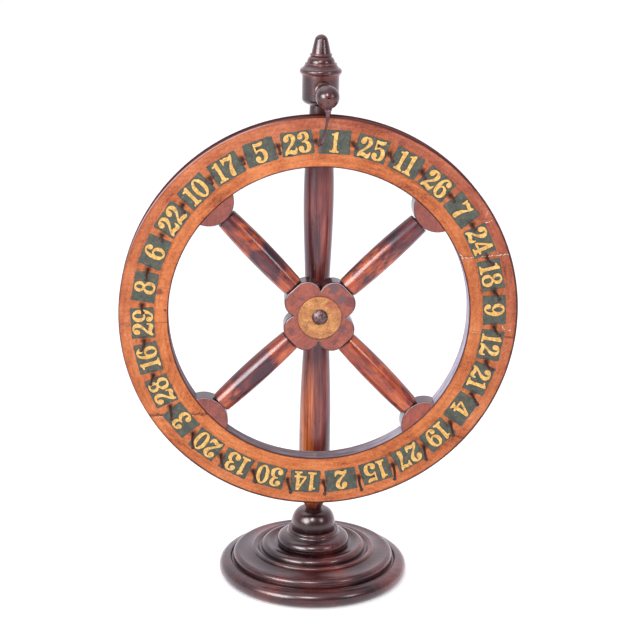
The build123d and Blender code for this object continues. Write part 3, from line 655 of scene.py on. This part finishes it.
def tube(path, radii, sides):
    """Vertices of a round tube along path, with its own radius at each point."""
    vertices = []
    for i, (point, radius) in enumerate(zip(path, radii)):
        ahead = (path[min(i + 1, len(path) - 1)] - path[max(i - 1, 0)]).normalized()
        side = ahead.cross(Vector((0.21, 0.13, 1.0))).normalized()
        up = side.cross(ahead)
        for j in range(sides):
            turn = 2 * pi * j / sides
            vertices.append(point + (side * cos(turn) + up * sin(turn)) * radius)
    return vertices


# ---- numerals ----
# Bold slab-serif digits, drawn in millimetres on a height of 22.
# An outline is a list of points, clockwise. A third value of 1 marks a sharp corner.
DIGIT_HEIGHT = 22.0
DIGIT_WIDTH = {"1": 10.2}
USUAL_DIGIT_WIDTH = 14.2
BALL_SIX = [
    (8.2, 22.2), (11.8, 21.0), (13.6, 18.0), (12.8, 15.5), (10.6, 14.6), (8.5, 15.8),
    (8.1, 18.0), (8.5, 19.8, 1), (7.2, 20.0), (5.5, 18.0), (4.7, 14.6), (4.7, 12.6, 1),
    (7.8, 13.9), (12.2, 11.9), (14.0, 7.0), (12.2, 2.0), (7.3, -0.2), (2.2, 2.4), (0.2, 9.0),
    (1.3, 16.0), (4.2, 20.6),
]
SIX_COUNTER = [
    (7.3, 11.7), (9.1, 10.2), (9.8, 6.8), (9.1, 3.5), (7.3, 1.9), (5.4, 3.5), (4.8, 6.8),
    (5.4, 10.2),
]


def half_turned(outline):
    """A six's outline turned half round, which makes a nine's."""
    return [(USUAL_DIGIT_WIDTH - p[0], DIGIT_HEIGHT - p[1], *p[2:]) for p in outline]


DIGITS = {
    "0": (
        [
            (7.1, 22.2), (11.9, 19.2), (14.0, 11.0), (11.9, 2.8), (7.1, -0.2), (2.3, 2.8),
            (0.2, 11.0), (2.3, 19.2),
        ],
        [
            (7.1, 20.1), (9.0, 17.2), (9.8, 11.0), (9.0, 4.8), (7.1, 1.9), (5.2, 4.8),
            (4.4, 11.0), (5.2, 17.2),
        ],
    ),
    "1": ([
        (0.3, 0, 1), (9.9, 0, 1), (9.9, 2.0, 1), (8.3, 2.5), (7.5, 3.6), (7.5, 22.1, 1),
        (4.9, 22.1, 1), (3.5, 20.6), (0.5, 19.8, 1), (0.5, 17.9, 1), (3.0, 17.9, 1),
        (3.0, 3.6), (2.1, 2.5), (0.3, 2.0, 1),
    ],),
    "2": ([
        (0.6, 16.6), (1.8, 19.9), (4.4, 21.7), (7.4, 22.2), (11.3, 20.9), (13.3, 17.2),
        (12.3, 13.4), (9.4, 9.9), (6.4, 7.0), (4.8, 4.9, 1), (7.4, 5.2), (9.8, 4.2),
        (11.5, 4.8), (12.3, 7.0, 1), (13.9, 7.0, 1), (13.6, 3.1), (12.3, 0.3), (9.8, -0.2),
        (6.8, 0.9), (3.8, 1.3), (2.0, 0.0, 1), (0.3, 0.0, 1), (0.5, 2.8), (2.5, 6.1),
        (5.8, 9.8), (8.2, 13.3), (8.8, 16.8), (7.9, 19.4), (6.4, 19.9, 1), (6.6, 17.4),
        (5.9, 15.0), (3.6, 13.7), (1.4, 14.5),
    ],),
    "3": ([
        (0.7, 17.4), (2.0, 20.2), (4.6, 21.8), (7.4, 22.2), (11.2, 21.0), (12.9, 17.2),
        (11.9, 13.7), (10.2, 11.9, 1), (12.5, 10.2), (13.9, 6.4), (12.4, 2.0), (7.6, -0.2),
        (3.6, 0.4), (1.0, 2.4), (0.3, 5.0), (1.2, 7.2), (3.4, 7.9), (5.6, 6.8), (6.1, 4.6),
        (5.6, 2.9, 1), (6.9, 2.0), (8.7, 3.4), (9.3, 6.4), (8.5, 9.5), (6.2, 10.9),
        (4.8, 11.0, 1), (4.8, 12.6, 1), (6.6, 12.8), (8.3, 14.3), (8.7, 17.2), (8.0, 19.5),
        (6.7, 20.1), (5.7, 19.6, 1), (6.2, 17.6), (5.6, 15.7), (3.6, 14.7), (1.5, 15.4),
    ],),
    "4": (
        [
            (8.2, 22.1, 1), (11.5, 22.1, 1), (11.5, 7.3, 1), (13.9, 7.3, 1), (13.9, 4.9, 1),
            (11.5, 4.9, 1), (11.5, 2.9), (12.2, 2.2), (13.7, 1.9, 1), (13.7, 0, 1),
            (5.4, 0, 1), (5.4, 1.9, 1), (6.9, 2.2), (7.6, 2.9), (7.6, 4.9, 1), (0.3, 4.9, 1),
            (0.3, 7.3, 1),
        ],
        [(7.6, 7.3, 1), (7.6, 16.0, 1), (2.9, 7.3, 1)],
    ),
    "5": ([
        (2.0, 21.9, 1), (5.2, 21.2), (8.8, 21.3), (12.6, 22.3, 1), (12.3, 19.4), (10.4, 17.7),
        (7.2, 17.3), (3.8, 18.0, 1), (3.8, 13.4, 1), (5.6, 14.2), (8.0, 14.5), (12.1, 12.8),
        (13.9, 7.6), (12.2, 2.2), (7.2, -0.2), (3.2, 0.5), (0.9, 2.5), (0.3, 5.0), (1.2, 7.1),
        (3.3, 7.9), (5.5, 6.8), (6.0, 4.7), (5.4, 2.9, 1), (6.9, 2.0), (8.7, 3.6), (9.3, 7.4),
        (8.5, 11.2), (6.4, 12.4), (4.2, 11.8), (3.3, 10.6, 1), (1.9, 10.9, 1),
    ],),
    "6": (BALL_SIX, SIX_COUNTER),
    "7": ([
        (0.9, 22.2, 1), (2.2, 22.2, 1), (3.1, 21.3), (5.6, 21.9), (8.6, 21.1), (11.0, 21.0),
        (12.3, 22.2, 1), (13.7, 22.2, 1), (13.5, 19.6), (11.3, 14.6), (9.5, 8.6), (9.1, 3.4),
        (8.8, 0.7), (6.6, -0.2), (4.4, 0.8), (4.0, 3.8), (5.2, 8.8), (8.0, 13.6),
        (10.4, 17.1, 1), (8.8, 16.9), (5.6, 18.0), (3.4, 17.5), (2.2, 15.2, 1), (0.9, 15.2, 1),
    ],),
    "8": (
        [
            (7.1, 22.2), (11.2, 21.0), (13.0, 17.2), (12.1, 13.7), (10.3, 11.8), (12.7, 10.0),
            (14.0, 6.0), (12.2, 1.6), (7.1, -0.2), (2.0, 1.6), (0.2, 6.0), (1.5, 10.0),
            (3.9, 11.8), (2.1, 13.7), (1.2, 17.2), (3.0, 21.0),
        ],
        [(7.1, 20.2), (8.7, 19.2), (9.2, 16.9), (8.6, 14.6), (7.1, 13.4), (5.5, 14.6),
         (5.0, 16.9), (5.5, 19.2)],
        [(7.1, 10.5), (9.2, 9.2), (9.9, 6.0), (9.1, 3.0), (7.1, 1.9), (5.1, 3.0), (4.3, 6.0),
         (5.0, 9.2)],
    ),
    "9": (half_turned(BALL_SIX), half_turned(SIX_COUNTER)),
}


def digit_mesh(digit, spread, half_thickness):
    """One digit as a closed slab in the XY plane, its outline moved outward by spread."""
    curve = bpy.data.curves.new("digit_" + digit, "CURVE")
    curve.dimensions = "2D"
    curve.fill_mode = "BOTH"
    curve.resolution_u = 5
    curve.offset = spread
    curve.extrude = half_thickness
    for outline in DIGITS[digit]:
        spline = curve.splines.new("BEZIER")
        spline.bezier_points.add(len(outline) - 1)
        spline.use_cyclic_u = True
        for point, place in zip(spline.bezier_points, outline):
            point.co = (place[0] * MM, place[1] * MM, 0)
            kind = "VECTOR" if len(place) == 3 else "AUTO"
            point.handle_left_type = kind
            point.handle_right_type = kind
    holder = new_object("digit_holder", curve)
    bpy.context.view_layer.update()
    shaped = holder.evaluated_get(bpy.context.evaluated_depsgraph_get())
    mesh = bpy.data.meshes.new_from_object(shaped)
    bpy.data.objects.remove(holder)
    return mesh


def number_mesh(value, spread, half_thickness):
    """The digits of a number side by side, centred on the origin."""
    text = str(value)
    widths = [DIGIT_WIDTH.get(d, USUAL_DIGIT_WIDTH) for d in text]
    gap = 0.6
    x = -(sum(widths) + gap * (len(text) - 1)) / 2
    build = bmesh.new()
    for digit, width in zip(text, widths):
        slab = digit_mesh(digit, spread, half_thickness)
        slab.transform(Matrix.Translation((x * MM, -DIGIT_HEIGHT / 2 * MM, 0)))
        build.from_mesh(slab)
        bpy.data.meshes.remove(slab)
        x += width + gap
    bmesh.ops.remove_doubles(build, verts=build.verts, dist=2e-6)
    mesh = bpy.data.meshes.new(f"number_{value:02d}")
    build.to_mesh(mesh)
    build.free()
    return mesh


# ---- cards ----
INK_SPREAD = 0.55 * MM
GILT_SPREAD = -0.02 * MM


def card_corners(node):
    """The four corners of a CAD card's front face, as flat vectors, in order round the card."""
    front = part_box(node)[0].y
    seen = {}
    for vertex in nodes[node].data.vertices:
        if abs(vertex.co.y - front) < 1e-5:
            seen[(round(vertex.co.x, 5), round(vertex.co.z, 5))] = vertex.co
    points = [Vector((v.x, v.z)) for v in seen.values()]
    centre = sum(points, Vector((0, 0))) / len(points)
    return sorted(points, key=lambda p: -(p - centre).angle_signed(Vector((0, 1))))


def ragged_outline(corners, random):
    """A hand-cut outline through the corners: nearly straight sides with nicks and soft corners."""
    outline = []
    for start, end in zip(corners, corners[1:] + corners[:1]):
        side = end - start
        out = Vector((side.y, -side.x)).normalized()
        bow = random.uniform(-0.5, 0.15) * MM
        count = 16
        for i in range(count):
            share = (i + 0.5) / count
            nick = random.gauss(0, 0.13) * MM
            if random.random() < 0.07:
                nick -= random.uniform(0.3, 0.8) * MM
            outline.append(start + side * share - out * (bow * 4 * share * (1 - share) - nick))
    return outline


def slab_from_outline(outline, back, front):
    """A closed flat slab between two depths, with a slightly smaller rounded front face."""
    centre = sum(outline, Vector((0, 0))) / len(outline)
    layers = ((back, 1.0), (front + 0.12 * MM, 1.0), (front, 0.990))
    vertices = []
    for y, size in layers:
        for point in outline:
            flat = centre + (point - centre) * size
            vertices.append(Vector((flat.x, y, flat.y)))
    return vertices, ring_faces(len(layers), len(outline))


def make_cards(paper, ink, gold):
    """Thirty cards with their numbers, each standing for its CAD card."""
    for value in NUMBERS:
        random = Random(100 + value)
        node = f"card_{value:02d}"
        corners = card_corners(node)
        centre = sum(corners, Vector((0, 0))) / 4
        outward = (centre - Vector((0, AXLE.z))).normalized()
        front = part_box(node)[0].y
        vertices, faces = slab_from_outline(ragged_outline(corners, random), RIM_FRONT, front)
        card = mesh_piece(f"number_card_{value:02d}", vertices, faces, [paper], smooth=False)
        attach(card, "wheel")
        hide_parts(node)
        tilt = radians(random.uniform(-2.5, 2.5))
        up = Vector((outward.x, 0, outward.y))
        up.rotate(Matrix.Rotation(tilt, 3, "Y"))
        right = Vector((up.z, 0, -up.x))
        middle = Vector((centre.x, front, centre.y)) + right * random.uniform(-0.6, 0.6) * MM
        basis = Matrix((right, up, Vector((0, -1, 0)))).transposed().to_4x4()
        for kind, spread, lift, half, material in (
            ("ink", INK_SPREAD, 0.00 * MM, 0.03 * MM, ink),
            ("numeral", GILT_SPREAD, 0.03 * MM, 0.05 * MM, gold),
        ):
            mesh = number_mesh(value, spread, half)
            mesh.transform(Matrix.Translation(middle - Vector((0, lift, 0))) @ basis)
            mesh.materials.append(material)
            piece = new_object(f"{kind}_{value:02d}", mesh)
            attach(piece, "wheel")


# ---- pegs ----
NAIL_SIDES = 14


def make_nails(material):
    """Thirty wire nails, each a little bent, standing for the straight CAD pegs."""
    vertices, faces = [], []
    proud = RIM_FRONT - PEG_TIP
    for number in range(NUMBER_COUNT):
        random = Random(500 + number)
        angle = FIRST_PEG_ANGLE + PITCH * number
        lean = Vector((random.uniform(-1, 1), 0, random.uniform(-1, 1))) * 2.2 * MM
        kink = Vector((random.uniform(-1, 1), 0, random.uniform(-1, 1))) * 1.3 * MM
        below = 0.5 - 0.5 * cos(radians(angle))
        length = proud * (0.78 + 0.17 * below ** 2 + random.uniform(-0.03, 0.03))
        path, radii = [clock(PEG_CIRCLE_R, angle, RIM_FRONT + 6 * MM)], [1.25 * MM]
        steps = 10
        for i in range(steps):
            share = i / steps
            bend = lean * share * share + kink * sin(pi * share)
            path.append(clock(PEG_CIRCLE_R, angle, RIM_FRONT - length * share) + bend)
            radii.append((1.5 - 0.14 * share + random.gauss(0, 0.05)) * MM)
        tip = clock(PEG_CIRCLE_R, angle, RIM_FRONT - length) + lean
        along = (tip - path[-1]).normalized()
        for back, radius in (
            (1.7, 1.4), (1.4, 1.5), (1.15, 1.95), (0.8, 2.1), (0.3, 2.05), (0.05, 1.6), (0, 0.8),
        ):
            path.append(tip - along * back * MM)
            radii.append(radius * MM)
        faces += ring_faces(len(path), NAIL_SIDES, len(vertices))
        vertices += tube(path, radii, NAIL_SIDES)
    nails = mesh_piece("nail_pegs", vertices, faces, [material])
    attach(nails, "wheel")
    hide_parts("pegs")


# ---- the leather strip ----
def strip_rows(tip):
    """(centre, wide direction, thin direction, half width, half thickness, fold) down the strip."""
    out = Vector((BALL.x, BALL.y, 0)).normalized()
    right = Vector((-out.y, out.x, 0))
    down = Vector((0, 0, -1))
    rows = [(BALL + out * (BALL_R - 2.5 * MM), right, down, 1.0 * MM, 0.6 * MM, 0)]
    steps = 16
    leaves_ball = 66
    for i in range(steps + 1):
        share = i / steps
        turn = radians(5 + (leaves_ball - 5) * share)
        radial = out * cos(turn) + down * sin(turn)
        widening = min(1.0, share / 0.45)
        lift = (0.25 + 0.75 * widening) * MM
        rows.append((
            BALL + radial * (BALL_R + lift), right, radial, (1.3 + 2.5 * widening) * MM,
            0.85 * MM, 0.6 * widening,
        ))
    start = rows[-1][0]
    steps = 30
    for i in range(1, steps + 1):
        share = i / steps
        height = start.z + (tip.z - start.z) * share
        depth = tip.y + (start.y - tip.y) * (1 - share) ** 2.6
        across = start.x + (tip.x - start.x) * share ** 1.5 + 0.9 * MM * sin(pi * share)
        twist = radians(20 + 52 * sin(pi * min(1.0, share * 1.1)) ** 0.8)
        wide = right * cos(twist) + out * sin(twist)
        thin = wide.cross(down)
        waist = 1 - 0.5 * min(1.0, share / 0.22) + 0.16 * sin(pi * max(0.0, share - 0.45) / 0.55)
        ending = 0.4 if i == steps else min(1.0, (1.04 - share) / 0.2)
        rows.append((
            Vector((across, depth, height)), wide, thin, 3.8 * waist * ending * MM,
            (0.8 + 0.1 * sin(9 * share)) * max(0.55, ending) * MM, 0.6 * (1 - share) ** 2,
        ))
    return rows


def make_strip(material):
    """The flapper: a leather strip out of the knob's hole, over its ball, folded and twisted."""
    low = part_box("flapper")[0]
    tip = Vector((low.x + 2.0 * MM, PIVOT.y, low.z + 0.6 * MM))
    rows = strip_rows(tip)
    sides = 24
    vertices = []
    for centre, wide, thin, half_width, half_thickness, fold in rows:
        for j in range(sides):
            turn = 2 * pi * j / sides
            across = copysign(abs(cos(turn)) ** 0.5, cos(turn))
            through = copysign(abs(sin(turn)) ** 0.6, sin(turn))
            through *= 1 - fold * max(0.0, 1 - (across / 0.45) ** 2)
            vertices.append(centre + wide * half_width * across + thin * half_thickness * through)
    faces = ring_faces(len(rows), sides)
    strip = mesh_piece("flapper_strip", vertices, faces, [material])
    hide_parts("flapper", "flapper_tang")
    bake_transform(strip)


# ---- giving the CAD nodes their finishes ----
def assign(material, *names):
    """Puts a material on every slot of the named CAD nodes, or on their meshes if they have none."""
    for name in names:
        mesh = nodes[name].data
        if not mesh.materials:
            mesh.materials.append(material)
        for slot in nodes[name].material_slots:
            slot.material = material


def finish_stand():
    """Every piece that stands still."""
    assign(dark_mahogany("dark_mahogany_upright"), "pedestal")
    assign(dark_mahogany(
        "dark_mahogany_foot", stretch=(0.12, 1, 1), shift=(0.2, 0.5, 0.1), hole=FOOT_NAIL_HOLE), "foot")
    assign(dark_mahogany("dark_mahogany_collar", patches=(0.15, 0.35, 0.9)), "collar")
    assign(dark_mahogany("dark_mahogany_finial", patches=(0.9, 0.6, 0.3)), "finial")
    assign(post_mahogany(), "post")
    assign(dark_mahogany("dark_mahogany_knob", stretch=(1, 0.1, 1), shift=(0.3, 0.2, 0.6)), "knob")
    steel = iron("blackened_steel", (62, 46, 48), (132, 108, 106), 0.32, 0.8)
    assign(steel, "axle_bolt", "axle_nut", "foot_screw")
    assign(old_brass("turned_brass"), "spacer", "rear_washer")


def finish_wheel():
    """Every piece that turns with the wheel, apart from the cards and the pegs."""
    pale, yellow, dark = (226, 200, 184), (222, 178, 112), (58, 22, 22)
    chip, grey, black = (240, 218, 200), (170, 132, 122), (34, 12, 14)
    right_upper = Mark((214, RIGHT_UPPER[0]), (162, RIGHT_UPPER[1]), pale, 0.5, 1.6)
    curl = Mark((166, 67.0), (162.5, 63.6), pale, 0.5, 1.0)
    scratch = Mark((203, 59.5), (210, 59.9), chip, 0.4, 0.6, 0.1)
    right_lower = Mark((188, RIGHT_LOWER[0]), (162, RIGHT_LOWER[1]), yellow, 0.45, 1.0)
    right_lower_out = Mark((215, RIGHT_LOWER[0]), (188, RIGHT_LOWER[0]), dark, 0.3, 0.8)
    chip_one = Mark((198, 93.2), (201.5, 94.2), chip, 0.55, 1.2, 0.1)
    chip_two = Mark((206, 94.6), (208, 94.4), chip, 0.45, 1.0, 0.1)
    crack = Mark((215, 130.8), (207, 131.6), black, 0.45, 1.4, 0.3)
    left_lower = Mark((214, LEFT_LOWER[0]), (162, LEFT_LOWER[1]), dark, 0.6, 2.4, 0.5)
    left_lower_pale = Mark((210, LEFT_LOWER[0] - 1.1), (176, LEFT_LOWER[1] + 3.1), pale, 0.35, 2.0, 0.0)
    left_upper = Mark((215, LEFT_UPPER[0]), (199, LEFT_UPPER[0]), grey, 0.4, 0.8)
    left_upper_in = Mark((178, LEFT_UPPER[1]), (162, LEFT_UPPER[1]), dark, 0.25, 0.8, 0.2)
    soot = (clock(0.173, 279, RIM_FRONT), 0.0055, (84, 38, 34))
    dots = (clock(0.1655, 272.4, RIM_FRONT), 0.0022, (52, 22, 24))
    grime = (clock(0.206, 24, RIM_FRONT), 0.006, (122, 62, 50))
    rims = {
        "rim_upper": (2.0, 1, (right_upper, curl, scratch, left_upper, left_upper_in),
                      (soot, dots, grime), (0.1, 0.2, 0.3)),
        "rim_right": (84.0, 1, (right_upper, right_lower, right_lower_out, chip_one, chip_two),
                      (), (0.7, 0.4, 0.9)),
        "rim_lower": (-14.0, -1, (right_lower, right_lower_out, crack, left_lower, left_lower_pale),
                      (), (1.3, 0.8, 0.2)),
        "rim_left": (76.0, 1, (left_lower, left_lower_pale, left_upper, left_upper_in),
                     (dots,), (1.9, 0.1, 0.6)),
    }
    for node, settings in rims.items():
        assign(rim_mahogany("rim_mahogany_" + node[4:], *settings), node)
    for number, angle in enumerate(SPOKE_ANGLES, start=1):
        shift = (0.37 * number, 0.11 * number, 0.53 * number)
        shades = SPOKE_SHADES[number - 1]
        assign(spoke_mahogany(f"spoke_mahogany_{number}", angle, shades, shift), f"spoke_{number}")
        light = (188, 84, 50) if number == 2 else (164, 78, 58)
        block = block_mahogany(f"block_mahogany_{number}", (96, 38, 32), light, (), 84, shift)
        assign(block, f"spoke_block_{number}")
    stains = (
        (clock(0.036, 26, RIM_FRONT), 0.0105, (84, 62, 70)),
        (clock(0.031, 48, RIM_FRONT), 0.008, (94, 62, 68)),
        (clock(0.037, 66, RIM_FRONT), 0.0085, (106, 44, 40)),
        (clock(0.029, 118, RIM_FRONT), 0.007, (92, 50, 54)),
        (clock(0.034, 150, RIM_FRONT), 0.005, (104, 44, 42)),
        (clock(0.034, 240, RIM_FRONT), 0.006, (100, 44, 42)),
        (clock(0.028, 318, RIM_FRONT), 0.004, (104, 52, 52)),
    )
    hub = block_mahogany(
        "hub_mahogany", (104, 42, 32), (180, 90, 64), stains, 40, (0.5, 0.2, 0.8))
    assign(hub, "hub")
    assign(old_brass("hub_brass"), "hub_disc", "hub_bush")


# ---- camera, light, floor ----
CAMERA_PLACE = (-0.12087, -1.78184, 0.80489)


def make_camera():
    """The camera stands a little left of the middle, above the finial, looking down."""
    yaw, pitch, roll = 0.0698, 0.2758, 0.0175
    ahead = Vector((sin(yaw) * cos(pitch), cos(yaw) * cos(pitch), -sin(pitch)))
    right = Vector((cos(yaw), -sin(yaw), 0))
    up = right.cross(ahead)
    rolled_right = cos(roll) * right + sin(roll) * up
    rolled_up = -sin(roll) * right + cos(roll) * up
    data = bpy.data.cameras.new("camera")
    data.sensor_width = 36.0
    data.lens = 94.69
    camera = new_object("camera", data)
    turn = Matrix((rolled_right, rolled_up, -ahead)).transposed().to_4x4()
    camera.matrix_world = Matrix.Translation(CAMERA_PLACE) @ turn
    scene.camera = camera


def soft_light(name, place, target, size, power, gloss_only=False):
    """An elliptic soft box at place, turned to target. gloss_only: seen in gloss, lights nothing."""
    data = bpy.data.lights.new(name, "AREA")
    data.shape = "ELLIPSE"
    data.size, data.size_y = size
    data.energy = power
    light = new_object(name, data)
    light.location = place
    light.visible_diffuse = not gloss_only
    light.rotation_mode = "QUATERNION"
    light.rotation_quaternion = (Vector(target) - Vector(place)).to_track_quat("-Z", "Y")


def make_sky():
    """A white tent: bright behind and overhead, dimmer towards the front, plain white to the eye."""
    world = bpy.data.worlds.new("studio")
    world.use_nodes = True
    sky = Shading(world.node_tree)
    _, depth, height = sky.parts(sky.add("TexCoord").outputs["Generated"])
    behind = sky.span(depth, -0.6, 0.6, 0.18, 0.95)
    overhead = sky.span(height, 0.35, 0.9, 0.0, 1.05)
    bright = sky.math("MAXIMUM", behind, overhead)
    seen = sky.add("LightPath").outputs["Is Camera Ray"]
    strength = sky.add("Mix", {0: seen, 2: bright, 3: 1.0}, data_type="FLOAT").outputs[0]
    tints = {0: seen, 6: (1.0, 0.94, 1.02, 1), 7: (1.0, 1.0, 1.0, 1)}
    tint = sky.add("Mix", tints, data_type="RGBA").outputs[2]
    background = sky.tree.nodes["Background"]
    sky.feed(background.inputs["Color"], tint)
    sky.feed(background.inputs["Strength"], strength)
    scene.world = world


def make_studio():
    """A bright floor without an edge in sight, soft boxes round it and one that only shines."""
    f = Finish("pale_floor", Roughness=0.95, Emission_Strength=0.42)
    f.shader.inputs["Specular IOR Level"].default_value = 0.0
    f.shader.inputs["Emission Color"].default_value = (1, 0.99, 1, 1)
    f.finish(f.ramp(f.noise(f.place, 3, 2), (0.3, (226, 225, 228)), (0.7, (230, 229, 231))))
    half = 20.0
    floor = mesh_piece(
        "floor", [(-half, -half, 0), (half, -half, 0), (half, half, 0), (-half, half, 0)],
        [(0, 1, 2, 3)], [f.material], smooth=False,
    )
    make_sky()
    middle = (0, 0, 0.3)
    soft_light("key", (-0.35, -1.9, 1.75), middle, (0.6, 0.6), 24)
    soft_light("side", (-2.0, -0.9, 1.1), middle, (0.6, 1.2), 9)
    soft_light("fill", (1.5, -1.5, 1.2), middle, (0.4, 0.6), 9)
    soft_light("sheen", (-1.35, -1.35, 1.0), middle, (1.1, 1.1), 46, gloss_only=True)
    soft_light("top", (-0.9, 0.5, 2.4), (0, 0.2, 0), (2.0, 2.0), 10)
    scene.view_settings.view_transform = "Standard"


make_camera()
make_studio()
finish_stand()
finish_wheel()
make_cards(
    card_paper(),
    gilt("numeral_ink", (26, 20, 18), (42, 32, 26), (72, 54, 38), (70, 66, 56)),
    gilt("numeral_gilt", (180, 126, 62), (224, 176, 92), (242, 206, 134), (142, 106, 68)),
)
make_nails(iron("peg_iron", (34, 18, 17), (74, 46, 42), 0.45, 0.35))
make_strip(leather())
